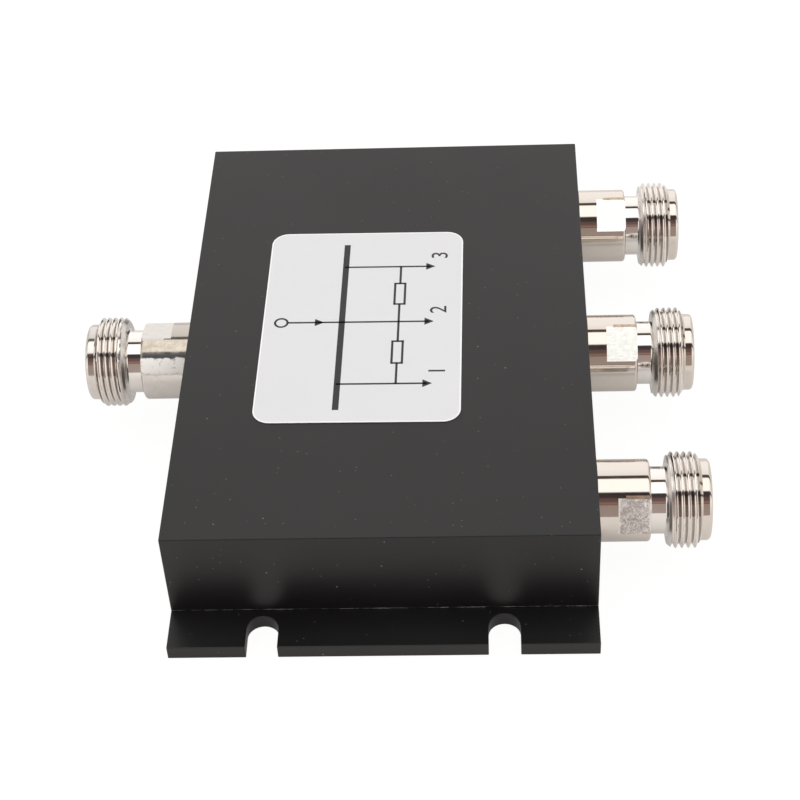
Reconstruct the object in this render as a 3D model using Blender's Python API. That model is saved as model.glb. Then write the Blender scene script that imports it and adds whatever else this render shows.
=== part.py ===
"""Radio-frequency power splitter: one input socket and three output sockets on a black box.

Metres, +Z up. The origin is the middle of the base plate's underside. The input socket
faces -X, the output sockets face +X, and the slotted flanges lie at -Y and +Y.
"""

import math
from collections import namedtuple

import bmesh
import bpy
from mathutils import Matrix, Vector

# Clearances between neighbouring pieces
SEAT_GAP = 0.0003
BOND_GAP = 0.00005
CUT_MARGIN = 0.0006

# Box
BOX_WIDTH = 0.0700
BOX_LENGTH = 0.1025
HOUSING_HEIGHT = 0.0172
SIDE_WALL = 0.0040
END_WALL = 0.0040
EDGE_BREAK = 0.0002
POCKET_CORNER_RADIUS = 0.0030

# Base plate with its two slotted flanges
BASE_THICKNESS = 0.0026
FLANGE_DEPTH = 0.00775
SLOT_WIDTH = 0.0052
SLOT_DEPTH = 0.0064
SLOT_SPACING = 0.0393

# Countersunk screws that hold the base plate
SCREW_INSET = 0.0040
BOSS_DIAMETER = 0.0070
SCREW_DIAMETER = 0.0030
SCREW_LENGTH = 0.0080
SCREW_HEAD_DIAMETER = 0.0056
SCREW_HEAD_RECESS = 0.0002

# Sockets: places, then sizes along the axis, from the box's side wall outwards
PORT_HEIGHT = 0.0089
OUTPUT_INSET = 0.01525
BARREL_DIAMETER = 0.0136
BARREL_LENGTH = 0.00875
BARREL_CHAMFER = 0.0005
NECK_DIAMETER = 0.0111
NECK_LENGTH = 0.00275
NECK_FILLET = 0.0005
HEAD_DIAMETER = 0.015875
HEAD_LENGTH = 0.0055
HEAD_REAR_BEVEL = 0.00065
HEAD_REAR_BEVEL_LENGTH = 0.0009
LIP_DIAMETER = 0.01345
LIP_LENGTH = 0.0016
LIP_EDGE_RADIUS = 0.0005
FLATS_ACROSS = 0.0120
FLATS_LENGTH = 0.0054
SPIGOT_DIAMETER = 0.0108
SPIGOT_CHAMFER = 0.0004

# Inside of the sockets
SOCKET_BORE = 0.0081
SOCKET_DEPTH = 0.0091
SOCKET_CHAMFER = 0.0003
INSULATOR_DIAMETER = 0.0064
COLLAR_DIAMETER = 0.0080
COLLAR_LENGTH = 0.0047
CONTACT_DIAMETER = 0.00304
CONTACT_RECESS = 0.0043
CONTACT_HOLE = 0.0016
CONTACT_HOLE_DEPTH = 0.0050
CONTACT_SLOT = 0.0004
CONTACT_SLOT_DEPTH = 0.0040
CONTACT_TIP_CHAMFER = 0.0002
CONTACT_SHANK_LENGTH = 0.0115
PIN_DIAMETER = 0.0013
PIN_REACH = 0.0050

# Circuit board, its copper and its chip resistors
BOARD_THICKNESS = 0.0015
BOARD_CLEARANCE = 0.0005
BOARD_SCREW_DIAMETER = 0.0025
BOARD_SCREW_LENGTH = 0.0050
BOARD_SCREW_HEAD_DIAMETER = 0.0048
BOARD_SCREW_HEAD_HEIGHT = 0.0016
BOARD_SCREW_INSET = 0.01875
BOARD_SCREW_CLEARANCE = 0.0026
COPPER_THICKNESS = 0.0001
COPPER_MARGIN = 0.0005
LINE_WIDTH = 0.0030
INPUT_LINE_LENGTH = 0.0095
ARM_WIDTHS = (0.0008, 0.0012, 0.0018)
ARM_BULGE = 0.0088
LEAD_CLEARANCE = 0.0010
LEAD_SLANT = 0.0045
RESISTOR_LENGTH = 0.0032
RESISTOR_WIDTH = 0.0016
RESISTOR_HEIGHT = 0.0006

# Label on the housing's top
LABEL_WIDTH = 0.0351
LABEL_LENGTH = 0.0500
LABEL_THICKNESS = 0.00015
LABEL_CORNER_RADIUS = 0.0030
LABEL_OFFSET_X = -0.0044
LABEL_OFFSET_Y = -0.00025
LABEL_TURN = math.radians(-0.5)

# Facets round a full circle
BODY_FACETS = 32
BORE_FACETS = 24
CONTACT_FACETS = 20
SCREW_FACETS = 12
QUARTER_FACETS = 4
SLOT_FACETS = 14
SMOOTH_ANGLE = math.radians(35)

# Heights and half sizes that follow from the values above
HOUSING_TOP = BASE_THICKNESS + HOUSING_HEIGHT
HOUSING_FLOOR = BASE_THICKNESS + SEAT_GAP
AXIS_HEIGHT = BASE_THICKNESS + PORT_HEIGHT
OUTPUT_PITCH = BOX_LENGTH / 2 - OUTPUT_INSET
POCKET_HALF_WIDTH = BOX_WIDTH / 2 - SIDE_WALL
POCKET_HALF_LENGTH = BOX_LENGTH / 2 - END_WALL
COPPER_BOTTOM = AXIS_HEIGHT + PIN_DIAMETER / 2 + SEAT_GAP
COPPER_TOP = COPPER_BOTTOM + COPPER_THICKNESS
BOARD_BOTTOM = COPPER_TOP + BOND_GAP
BOARD_TOP = BOARD_BOTTOM + BOARD_THICKNESS
POCKET_ROOF = BOARD_TOP + SEAT_GAP
BOARD_HALF_WIDTH = POCKET_HALF_WIDTH - BOARD_CLEARANCE
BOARD_HALF_LENGTH = POCKET_HALF_LENGTH - BOARD_CLEARANCE
NECK_END = BARREL_LENGTH + NECK_LENGTH
HEAD_END = NECK_END + HEAD_LENGTH
SOCKET_FACE = HEAD_END + LIP_LENGTH

# Each socket: side is -1 at -X and 1 at +X, row counts output pitches along Y, and turn
# is how far its wrench flats have come round, about the axis that points out of the box
Port = namedtuple("Port", "name side row turn")
PORTS = (
    Port("input", -1, 0, math.radians(106)),
    Port("output_1", 1, -1, math.radians(-21)),
    Port("output_2", 1, 0, math.radians(-58)),
    Port("output_3", 1, 1, math.radians(-58)),
)


# Materials

def surface(name, colour, roughness, metallic):
    made = bpy.data.materials.new(name)
    made.use_nodes = True
    made.diffuse_color = (*colour, 1.0)
    shader = made.node_tree.nodes["Principled BSDF"]
    shader.inputs["Base Color"].default_value = (*colour, 1.0)
    shader.inputs["Roughness"].default_value = roughness
    shader.inputs["Metallic"].default_value = metallic
    return made


def black_anodised():
    return surface("black_anodised", (0.035, 0.034, 0.035), 0.38, 0.35)


def nickel_plate():
    return surface("nickel_plate", (0.74, 0.70, 0.66), 0.16, 1.0)


def gold_plate():
    return surface("gold_plate", (0.86, 0.62, 0.26), 0.22, 1.0)


def white_ptfe():
    return surface("white_ptfe", (0.86, 0.86, 0.84), 0.45, 0.0)


def screw_steel():
    return surface("screw_steel", (0.50, 0.50, 0.51), 0.30, 1.0)


def board_laminate():
    return surface("board_laminate", (0.62, 0.55, 0.36), 0.50, 0.0)


def bare_copper():
    return surface("bare_copper", (0.72, 0.42, 0.26), 0.30, 1.0)


def chip_ceramic():
    return surface("chip_ceramic", (0.06, 0.06, 0.07), 0.55, 0.0)


def label_film():
    return surface("label_film", (0.80, 0.79, 0.80), 0.55, 0.0)


# Objects, cutters and Boolean steps

def clear_scene():
    for item in list(bpy.data.objects):
        bpy.data.objects.remove(item, do_unlink=True)


def finished_mesh(name, shape, smooth=False):
    bmesh.ops.recalc_face_normals(shape, faces=shape.faces)
    mesh = bpy.data.meshes.new(name)
    shape.to_mesh(mesh)
    shape.free()
    if smooth:
        mesh.shade_smooth()
        mesh.set_sharp_from_angle(angle=SMOOTH_ANGLE)
    return mesh


def place(name, mesh, parent, location=(0, 0, 0), turn=(0, 0, 0)):
    item = bpy.data.objects.new(name, mesh)
    bpy.context.scene.collection.objects.link(item)
    item.parent = parent
    item.location = location
    item.rotation_euler = turn
    return item


def add_piece(name, shape, finish, parent, location=(0, 0, 0), turn=(0, 0, 0), smooth=False):
    mesh = finished_mesh(name, shape, smooth)
    mesh.materials.append(finish)
    return place(name, mesh, parent, location, turn)


def add_cutter(name, shape, parent, turn=(0, 0, 0)):
    cutter = place(name, finished_mesh(name, shape), parent, turn=turn)
    cutter.hide_render = True
    cutter.display_type = "WIRE"
    return cutter


def boolean(target, cutter, operation="DIFFERENCE"):
    step = target.modifiers.new(cutter.name, "BOOLEAN")
    step.operation = operation
    step.solver = "EXACT"
    step.object = cutter


# Shapes

def add_block(shape, low, high):
    """A box between two corners."""
    size = [b - a for a, b in zip(low, high)]
    middle = [(a + b) / 2 for a, b in zip(low, high)]
    matrix = Matrix.Translation(middle) @ Matrix.Diagonal((*size, 1.0))
    bmesh.ops.create_cube(shape, size=1.0, matrix=matrix)


def add_post(shape, x, y, radius, bottom, top):
    """An upright cylinder."""
    matrix = Matrix.Translation((x, y, (bottom + top) / 2))
    bmesh.ops.create_cone(shape, cap_ends=True, segments=SCREW_FACETS, radius1=radius,
                          radius2=radius, depth=top - bottom, matrix=matrix)


def add_bar(shape, y, z, radius, start, end):
    """A cylinder along X."""
    middle = Matrix.Translation(((start + end) / 2, y, z))
    matrix = middle @ Matrix.Rotation(math.pi / 2, 4, "Y")
    bmesh.ops.create_cone(shape, cap_ends=True, segments=BODY_FACETS, radius1=radius,
                          radius2=radius, depth=end - start, matrix=matrix)


def add_lathe(shape, profile, facets, axis="X", centre=(0, 0, 0), closed=True):
    """Spins (along, radius) points about the axis. An open profile starts and ends on it."""
    if axis == "X":
        points = [Vector((along, radius, 0)) for along, radius in profile]
        direction = (1, 0, 0)
    else:
        points = [Vector((radius, 0, along)) for along, radius in profile]
        direction = (0, 0, 1)
    verts = [shape.verts.new(point + Vector(centre)) for point in points]
    edges = [shape.edges.new(pair) for pair in zip(verts, verts[1:])]
    if closed:
        edges.append(shape.edges.new((verts[-1], verts[0])))
    bmesh.ops.spin(shape, geom=verts + edges, cent=centre, axis=direction,
                   angle=2 * math.pi, steps=facets, use_merge=True)
    bmesh.ops.remove_doubles(shape, verts=shape.verts, dist=1e-7)


def add_prism(shape, outline, bottom, top):
    """An outline in the XY plane, extruded upwards."""
    face = shape.faces.new([shape.verts.new((x, y, bottom)) for x, y in outline])
    raised = bmesh.ops.extrude_face_region(shape, geom=[face])["geom"]
    lifted = [item for item in raised if isinstance(item, bmesh.types.BMVert)]
    bmesh.ops.translate(shape, vec=(0, 0, top - bottom), verts=lifted)


def arc(x, y, radius, start, end, facets):
    """Points along an arc, from the angle start to the angle end."""
    angles = [start + (end - start) * step / facets for step in range(facets + 1)]
    return [(x + radius * math.cos(angle), y + radius * math.sin(angle)) for angle in angles]


def rounded_rectangle(half_width, half_length, radius):
    corners = ((1, 1), (-1, 1), (-1, -1), (1, -1))
    outline = []
    for quarter, (side_x, side_y) in enumerate(corners):
        start = quarter * math.pi / 2
        x = side_x * (half_width - radius)
        y = side_y * (half_length - radius)
        outline += arc(x, y, radius, start, start + math.pi / 2, QUARTER_FACETS)
    return outline


# Places that several pieces share

def screw_places():
    """The base plate's screws: four corners, two in each end, two in each side."""
    side = BOX_WIDTH / 2 - SCREW_INSET
    end = BOX_LENGTH / 2 - SCREW_INSET
    between_ports = OUTPUT_PITCH / 2
    rows = (-end, -between_ports, between_ports, end)
    return [(x, y) for x in (-side, side) for y in rows] + [(0, -end), (0, end)]


def lead_column():
    """Where the outer leads run along the board, clear of the notches for the bosses."""
    notch = BOX_WIDTH / 2 - SCREW_INSET - BOSS_DIAMETER / 2 - BOARD_CLEARANCE
    return notch - LEAD_CLEARANCE - LINE_WIDTH / 2


def board_screw_places():
    """A row of three near each end of the board, the outer ones clear of the leads."""
    column = lead_column() - LINE_WIDTH / 2 - BOARD_SCREW_CLEARANCE
    column -= BOARD_SCREW_HEAD_DIAMETER / 2
    row = BOARD_HALF_LENGTH - BOARD_SCREW_INSET
    return [(x, y) for y in (-row, row) for x in (-column, 0, column)]


def port_frame(port, parent):
    """An empty on the side wall's face, its +X along the socket's axis, out of the box."""
    frame = place(f"{port.name}_axis", None, parent)
    frame.location = (port.side * BOX_WIDTH / 2, port.row * OUTPUT_PITCH, AXIS_HEIGHT)
    frame.rotation_euler = (0, 0, 0 if port.side > 0 else math.pi)
    return frame


# Housing

def pocket_cutter(parent):
    """The milled pocket, which leaves a round boss standing at each screw."""
    shape = bmesh.new()
    outline = rounded_rectangle(POCKET_HALF_WIDTH, POCKET_HALF_LENGTH, POCKET_CORNER_RADIUS)
    add_prism(shape, outline, HOUSING_FLOOR - CUT_MARGIN, POCKET_ROOF)
    pocket = add_cutter("pocket_cut", shape, parent)
    bosses = bmesh.new()
    for x, y in screw_places():
        add_post(bosses, x, y, BOSS_DIAMETER / 2, HOUSING_FLOOR - 2 * CUT_MARGIN,
                 POCKET_ROOF + CUT_MARGIN)
    boolean(pocket, add_cutter("boss_cut", bosses, parent))
    return pocket


def port_bore_cutter(parent):
    shape = bmesh.new()
    radius = SPIGOT_DIAMETER / 2 + SEAT_GAP
    for port in PORTS:
        inner = port.side * (POCKET_HALF_WIDTH - CUT_MARGIN)
        outer = port.side * (BOX_WIDTH / 2 + CUT_MARGIN)
        add_bar(shape, port.row * OUTPUT_PITCH, AXIS_HEIGHT, radius,
                min(inner, outer), max(inner, outer))
    return add_cutter("port_bore_cut", shape, parent)


def tapped_hole_cutter(parent):
    """Blind holes for the base plate's screws and, in the pocket's roof, the board's."""
    shape = bmesh.new()
    for x, y in screw_places():
        add_post(shape, x, y, SCREW_DIAMETER / 2 + SEAT_GAP, HOUSING_FLOOR - CUT_MARGIN,
                 SCREW_HEAD_RECESS + SCREW_LENGTH + SEAT_GAP)
    for x, y in board_screw_places():
        add_post(shape, x, y, BOARD_SCREW_DIAMETER / 2 + SEAT_GAP, POCKET_ROOF - CUT_MARGIN,
                 BOARD_BOTTOM + BOARD_SCREW_LENGTH)
    return add_cutter("tapped_hole_cut", shape, parent)


def build_housing(finish, parent):
    shape = bmesh.new()
    add_block(shape, (-BOX_WIDTH / 2, -BOX_LENGTH / 2, HOUSING_FLOOR),
              (BOX_WIDTH / 2, BOX_LENGTH / 2, HOUSING_TOP))
    bmesh.ops.bevel(shape, geom=shape.edges[:], offset=EDGE_BREAK, segments=1,
                    affect="EDGES")
    housing = add_piece("housing", shape, finish, parent)
    boolean(housing, pocket_cutter(parent))
    boolean(housing, port_bore_cutter(parent))
    boolean(housing, tapped_hole_cutter(parent))


# Base plate and its screws

def flange_edge():
    """The front flange's edge from left to right, dipping into its two open slots."""
    half_width = BOX_WIDTH / 2
    front = -(BOX_LENGTH / 2 + FLANGE_DEPTH)
    radius = SLOT_WIDTH / 2
    edge = [(-half_width, front)]
    for x in (-SLOT_SPACING / 2, SLOT_SPACING / 2):
        edge.append((x - radius, front))
        edge += arc(x, front + SLOT_DEPTH - radius, radius, math.pi, 0, SLOT_FACETS)
        edge.append((x + radius, front))
    edge.append((half_width, front))
    return edge


def countersink_profile(grow):
    """Half section of a screw head's seat, grown by a clearance and run past both faces."""
    head = SCREW_HEAD_DIAMETER / 2 + grow
    shank = SCREW_DIAMETER / 2 + grow
    cone_end = SCREW_HEAD_RECESS + head - shank
    return [(-CUT_MARGIN, 0), (-CUT_MARGIN, head), (SCREW_HEAD_RECESS, head),
            (cone_end, shank), (BASE_THICKNESS + CUT_MARGIN, shank),
            (BASE_THICKNESS + CUT_MARGIN, 0)]


def build_base_plate(finish, parent):
    front_edge = flange_edge()
    rear_edge = [(-x, -y) for x, y in front_edge]
    shape = bmesh.new()
    add_prism(shape, front_edge + rear_edge, 0, BASE_THICKNESS)
    plate = add_piece("base_plate", shape, finish, parent)
    holes = bmesh.new()
    for x, y in screw_places():
        add_lathe(holes, countersink_profile(SEAT_GAP), SCREW_FACETS, "Z", (x, y, 0),
                  closed=False)
    boolean(plate, add_cutter("countersink_cut", holes, parent))


def build_base_screws(finish, parent):
    head = SCREW_HEAD_DIAMETER / 2
    shank = SCREW_DIAMETER / 2
    tip = SCREW_HEAD_RECESS + SCREW_LENGTH
    point = shank / 3
    profile = [(SCREW_HEAD_RECESS, 0), (SCREW_HEAD_RECESS, head),
               (SCREW_HEAD_RECESS + head - shank, shank), (tip - point, shank),
               (tip, shank - point), (tip, 0)]
    shape = bmesh.new()
    add_lathe(shape, profile, SCREW_FACETS, "Z", closed=False)
    mesh = finished_mesh("base_screw", shape, smooth=True)
    mesh.materials.append(finish)
    for number, (x, y) in enumerate(screw_places(), 1):
        place(f"base_screw_{number:02d}", mesh, parent, (x, y, 0))


# Sockets

def body_profile():
    """Half section of the turned body: outside from the spigot to the lip, then the bores."""
    spigot = SPIGOT_DIAMETER / 2
    barrel = BARREL_DIAMETER / 2
    neck = NECK_DIAMETER / 2
    head = HEAD_DIAMETER / 2
    lip = LIP_DIAMETER / 2
    bore = SOCKET_BORE / 2
    outside = [
        (-SIDE_WALL, spigot - SPIGOT_CHAMFER),
        (SPIGOT_CHAMFER - SIDE_WALL, spigot),
        (SEAT_GAP, spigot),
        (SEAT_GAP, barrel),
        (BARREL_LENGTH - BARREL_CHAMFER, barrel),
        (BARREL_LENGTH, barrel - BARREL_CHAMFER),
        (BARREL_LENGTH, neck),
        (NECK_END - NECK_FILLET, neck),
        (NECK_END, neck + NECK_FILLET),
        (NECK_END, head - HEAD_REAR_BEVEL),
        (NECK_END + HEAD_REAR_BEVEL_LENGTH, head),
        (HEAD_END - (head - lip) / 2, head),
        (HEAD_END, lip),
        (SOCKET_FACE - LIP_EDGE_RADIUS, lip),
    ]
    rounding = [(along, radius) for along, radius in
                arc(SOCKET_FACE - LIP_EDGE_RADIUS, lip - LIP_EDGE_RADIUS, LIP_EDGE_RADIUS,
                    math.pi / 4, 0, 1)]
    bores = [
        (SOCKET_FACE, bore + SOCKET_CHAMFER),
        (SOCKET_FACE - SOCKET_CHAMFER, bore),
        (SOCKET_FACE - SOCKET_DEPTH, bore),
        (SOCKET_FACE - SOCKET_DEPTH, INSULATOR_DIAMETER / 2 + SEAT_GAP),
        (COLLAR_LENGTH - SIDE_WALL + SEAT_GAP, INSULATOR_DIAMETER / 2 + SEAT_GAP),
        (COLLAR_LENGTH - SIDE_WALL + SEAT_GAP, COLLAR_DIAMETER / 2 + SEAT_GAP),
        (-SIDE_WALL, COLLAR_DIAMETER / 2 + SEAT_GAP),
    ]
    return outside + rounding + bores


def insulator_profile():
    """Half section of the insulator: a stepped sleeve with a collar at the box's end."""
    outer = INSULATOR_DIAMETER / 2
    collar = COLLAR_DIAMETER / 2
    contact = CONTACT_DIAMETER / 2 + SEAT_GAP
    pin = PIN_DIAMETER / 2 + SEAT_GAP
    front = SOCKET_FACE - SOCKET_DEPTH
    step = contact_shoulder() - SEAT_GAP
    return [(-SIDE_WALL, pin), (step, pin), (step, contact), (front, contact),
            (front, outer), (COLLAR_LENGTH - SIDE_WALL, outer),
            (COLLAR_LENGTH - SIDE_WALL, collar), (-SIDE_WALL, collar)]


def contact_shoulder():
    """Where the contact steps down to its pin and butts on the insulator."""
    return SOCKET_FACE - CONTACT_RECESS - CONTACT_SHANK_LENGTH


def contact_profile():
    """Half section of the contact: the pin's hole in front, the soldered pin behind."""
    outer = CONTACT_DIAMETER / 2
    hole = CONTACT_HOLE / 2
    pin = PIN_DIAMETER / 2
    tip = SOCKET_FACE - CONTACT_RECESS
    drill_point = hole / 2
    end = -(SIDE_WALL + PIN_REACH)
    return [(tip - CONTACT_HOLE_DEPTH - drill_point, 0), (tip - CONTACT_HOLE_DEPTH, hole),
            (tip, hole), (tip, outer - CONTACT_TIP_CHAMFER),
            (tip - CONTACT_TIP_CHAMFER, outer), (contact_shoulder(), outer),
            (contact_shoulder(), pin), (end, pin), (end, 0)]


def flats_cutter(port, frame):
    """Two blocks that mill the opposite wrench flats into the barrel's outer end."""
    shape = bmesh.new()
    reach = BARREL_DIAMETER
    low, high = BARREL_LENGTH - FLATS_LENGTH, BARREL_LENGTH + NECK_LENGTH / 2
    for side in (-1, 1):
        near, far = side * FLATS_ACROSS / 2, side * reach
        add_block(shape, (low, min(near, far), -reach), (high, max(near, far), reach))
    return add_cutter(f"{port.name}_flats_cut", shape, frame, (port.turn, 0, 0))


def contact_slot_cutter(port, frame, number):
    """A thin blade across the contact's tip; two of them, crossed, make four fingers."""
    shape = bmesh.new()
    tip = SOCKET_FACE - CONTACT_RECESS
    reach = CONTACT_DIAMETER
    add_block(shape, (tip - CONTACT_SLOT_DEPTH, -CONTACT_SLOT / 2, -reach),
              (tip + CUT_MARGIN, CONTACT_SLOT / 2, reach))
    turn = math.pi / 4 + number * math.pi / 2
    return add_cutter(f"{port.name}_slot_cut_{number}", shape, frame, (turn, 0, 0))


def lathe_mesh(name, profile, facets, finish, closed=True):
    shape = bmesh.new()
    add_lathe(shape, profile, facets, closed=closed)
    mesh = finished_mesh(name, shape, smooth=True)
    mesh.materials.append(finish)
    return mesh


def build_sockets(nickel, ptfe, gold, parent):
    body_mesh = lathe_mesh("socket_body", body_profile(), BODY_FACETS, nickel)
    insulator_mesh = lathe_mesh("socket_insulator", insulator_profile(), BORE_FACETS, ptfe)
    contact_mesh = lathe_mesh("socket_contact", contact_profile(), CONTACT_FACETS, gold,
                              closed=False)
    for port in PORTS:
        frame = port_frame(port, parent)
        body = place(f"{port.name}_socket_body", body_mesh, frame)
        boolean(body, flats_cutter(port, frame))
        place(f"{port.name}_insulator", insulator_mesh, frame)
        contact = place(f"{port.name}_contact", contact_mesh, frame)
        for number in (0, 1):
            boolean(contact, contact_slot_cutter(port, frame, number))


# Circuit board

def build_board(finish, parent):
    """The board, notched round the housing's bosses and drilled for its own screws."""
    shape = bmesh.new()
    add_block(shape, (-BOARD_HALF_WIDTH, -BOARD_HALF_LENGTH, BOARD_BOTTOM),
              (BOARD_HALF_WIDTH, BOARD_HALF_LENGTH, BOARD_TOP))
    board = add_piece("circuit_board", shape, finish, parent)
    cuts = bmesh.new()
    low, high = BOARD_BOTTOM - CUT_MARGIN, BOARD_TOP + CUT_MARGIN
    for x, y in screw_places():
        add_post(cuts, x, y, BOSS_DIAMETER / 2 + BOARD_CLEARANCE, low, high)
    for x, y in board_screw_places():
        add_post(cuts, x, y, BOARD_SCREW_DIAMETER / 2 + SEAT_GAP, low, high)
    boolean(board, add_cutter("board_cut", cuts, parent))


def build_board_screws(finish, parent):
    head = BOARD_SCREW_HEAD_DIAMETER / 2
    shank = BOARD_SCREW_DIAMETER / 2
    under_head = BOARD_BOTTOM - SEAT_GAP
    crown = under_head - BOARD_SCREW_HEAD_HEIGHT
    tip = under_head + BOARD_SCREW_LENGTH
    rounding = BOARD_SCREW_HEAD_HEIGHT / 3
    profile = [(crown, 0), (crown, head - rounding), (crown + rounding, head),
               (under_head, head), (under_head, shank), (tip, shank), (tip, 0)]
    shape = bmesh.new()
    add_lathe(shape, profile, SCREW_FACETS, "Z", closed=False)
    mesh = finished_mesh("board_screw", shape, smooth=True)
    mesh.materials.append(finish)
    for number, (x, y) in enumerate(board_screw_places(), 1):
        place(f"board_screw_{number}", mesh, parent, (x, y, 0))


def section_length():
    """Length along X of one quarter-wave section: they fill the board up to the leads."""
    return (lead_column() - LEAD_SLANT - section_start(0, 0)) / len(ARM_WIDTHS)


def section_start(index, length):
    return INPUT_LINE_LENGTH - BOARD_HALF_WIDTH + index * length


def add_strip(shape, route):
    """A flat strip along (x, y, width) points, with mitred corners."""
    places = [Vector((x, y)) for x, y, _ in route]
    left, right = [], []
    for index, (point, stop) in enumerate(zip(places, route)):
        before = (point - places[index - 1]).normalized() if index else None
        after = (places[index + 1] - point).normalized() if index + 1 < len(route) else None
        before = before or after
        after = after or before
        across = Vector((-(before + after).y, (before + after).x)).normalized()
        reach = stop[2] / 2 / across.dot(Vector((-after.y, after.x)))
        left.append(point + across * reach)
        right.append(point - across * reach)
    add_prism(shape, [tuple(p) for p in left + right[::-1]], COPPER_BOTTOM, COPPER_TOP)


def middle_arm():
    """Input line, three meandering sections of growing width, and the middle output."""
    edge = BOARD_HALF_WIDTH - COPPER_MARGIN
    length = section_length()
    swing = ARM_BULGE / 2
    route = [(-edge, 0, LINE_WIDTH), (section_start(0, length), 0, LINE_WIDTH)]
    for index, width in enumerate(ARM_WIDTHS):
        start = section_start(index, length)
        bends = ((0.05, 0), (0.3, 0), (0.3, swing), (0.5, swing), (0.5, -swing),
                 (0.7, -swing), (0.7, 0), (1, 0))
        route += [(start + share * length, y, width) for share, y in bends]
    end = section_start(len(ARM_WIDTHS) + 0.05, length)
    return route + [(end, 0, LINE_WIDTH), (edge, 0, LINE_WIDTH)]


def outer_arm(side):
    """An outer arm bulges away in each section, then runs along the board to its output."""
    edge = BOARD_HALF_WIDTH - COPPER_MARGIN
    length = section_length()
    near = RESISTOR_LENGTH
    far = near + ARM_BULGE
    route = [(section_start(-0.1, length), 0, ARM_WIDTHS[0])]
    for index, width in enumerate(ARM_WIDTHS):
        start = section_start(index, length)
        bends = ((0.1, near), (0.1, far), (0.9, far), (0.9, near), (1, near))
        route += [(start + share * length, y, width) for share, y in bends]
    end = section_start(len(ARM_WIDTHS) + 0.05, length)
    lead = lead_column()
    route += [(end, near, ARM_WIDTHS[-1]), (lead, near + lead - end, LINE_WIDTH),
              (lead, OUTPUT_PITCH, LINE_WIDTH), (edge, OUTPUT_PITCH, LINE_WIDTH)]
    return [(x, side * y, width) for x, y, width in route]


def build_copper(finish, parent):
    shape = bmesh.new()
    add_strip(shape, middle_arm())
    copper = add_piece("copper_track", shape, finish, parent)
    for side, name in ((-1, "output_1"), (1, "output_3")):
        arm = bmesh.new()
        add_strip(arm, outer_arm(side))
        boolean(copper, add_cutter(f"{name}_arm", arm, parent), "UNION")


def build_resistors(finish, parent):
    """At each section's end a chip bridges the middle arm to each outer arm."""
    shape = bmesh.new()
    half = Vector((RESISTOR_WIDTH, RESISTOR_LENGTH, RESISTOR_HEIGHT)) / 2
    add_block(shape, -half, half)
    mesh = finished_mesh("isolation_resistor", shape)
    mesh.materials.append(finish)
    y = SEAT_GAP + half.y
    z = COPPER_BOTTOM - SEAT_GAP - half.z
    places = [(section_start(index + 1, section_length()), side * y, z)
              for index in range(len(ARM_WIDTHS)) for side in (-1, 1)]
    for number, centre in enumerate(places, 1):
        place(f"isolation_resistor_{number}", mesh, parent, centre)


# Label

def build_label(finish, parent):
    shape = bmesh.new()
    outline = rounded_rectangle(LABEL_WIDTH / 2, LABEL_LENGTH / 2, LABEL_CORNER_RADIUS)
    add_prism(shape, outline, 0, LABEL_THICKNESS)
    add_piece("label", shape, finish, parent,
              (LABEL_OFFSET_X, LABEL_OFFSET_Y, HOUSING_TOP + BOND_GAP), (0, 0, LABEL_TURN))


def build_splitter():
    clear_scene()
    root = place("power_splitter", None, None)
    black = black_anodised()
    steel = screw_steel()
    build_housing(black, root)
    build_base_plate(black, root)
    build_base_screws(steel, root)
    build_sockets(nickel_plate(), white_ptfe(), gold_plate(), root)
    build_board(board_laminate(), root)
    build_board_screws(steel, root)
    build_copper(bare_copper(), root)
    build_resistors(chip_ceramic(), root)
    build_label(label_film(), root)


build_splitter()
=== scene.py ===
"""Looks of the power splitter: black box, slotted plate, plated sockets, label and screws.

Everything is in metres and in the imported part's own frame. A piece that replaces a node of
the part stands exactly where that node stands.
"""

import math
from collections import namedtuple

import bmesh
import bpy
from mathutils import Matrix, Vector


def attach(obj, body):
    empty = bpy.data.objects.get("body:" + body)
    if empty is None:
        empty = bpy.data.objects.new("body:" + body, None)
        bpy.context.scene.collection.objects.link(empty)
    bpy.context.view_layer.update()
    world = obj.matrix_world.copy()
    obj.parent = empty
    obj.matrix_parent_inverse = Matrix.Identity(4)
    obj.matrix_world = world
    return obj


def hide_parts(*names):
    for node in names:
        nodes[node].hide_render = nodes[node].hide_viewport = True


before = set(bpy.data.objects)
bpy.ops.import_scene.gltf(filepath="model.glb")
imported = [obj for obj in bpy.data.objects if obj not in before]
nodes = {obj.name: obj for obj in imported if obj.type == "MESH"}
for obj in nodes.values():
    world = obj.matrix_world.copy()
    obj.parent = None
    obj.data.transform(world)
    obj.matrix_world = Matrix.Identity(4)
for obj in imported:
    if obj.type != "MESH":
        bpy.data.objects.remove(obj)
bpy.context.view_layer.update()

# Box and base plate
HALF_WIDTH = 0.0350
HALF_LENGTH = 0.05125
BOX_TOP = 0.0198
BOX_FOOT = 0.00265
EDGE_ROUNDING = 0.0002
WALL = 0.0040
POCKET_ROOF = 0.0144
POCKET_CORNER = 0.0030
PLATE_THICKNESS = 0.0026
PLATE_EDGE = 0.00012
PLATE_END = 0.0590
SLOT_WIDTH = 0.0052
SLOT_DEPTH = 0.0064
SLOT_HALF_SPACING = 0.01965

# Screws: the base plate's are countersunk, the board's have pan heads
SCREW_SIDE = 0.0310
SCREW_END = 0.04725
SCREW_MIDDLE = 0.0180
BOSS_RADIUS = 0.0035
SCREW_RADIUS = 0.0015
SCREW_HEAD_RADIUS = 0.0028
SCREW_RECESS = 0.0002
SCREW_LENGTH = 0.0080
SEAT_GAP = 0.0003
BOARD_SCREW_COLUMN = 0.0180
BOARD_SCREW_ROW = 0.0280
BOARD_SCREW_RADIUS = 0.00125
BOARD_SCREW_HEAD_RADIUS = 0.0024
BOARD_SCREW_HEAD_HEIGHT = 0.0016
BOARD_SCREW_LENGTH = 0.0050
BOARD_BOTTOM = 0.0126

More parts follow.
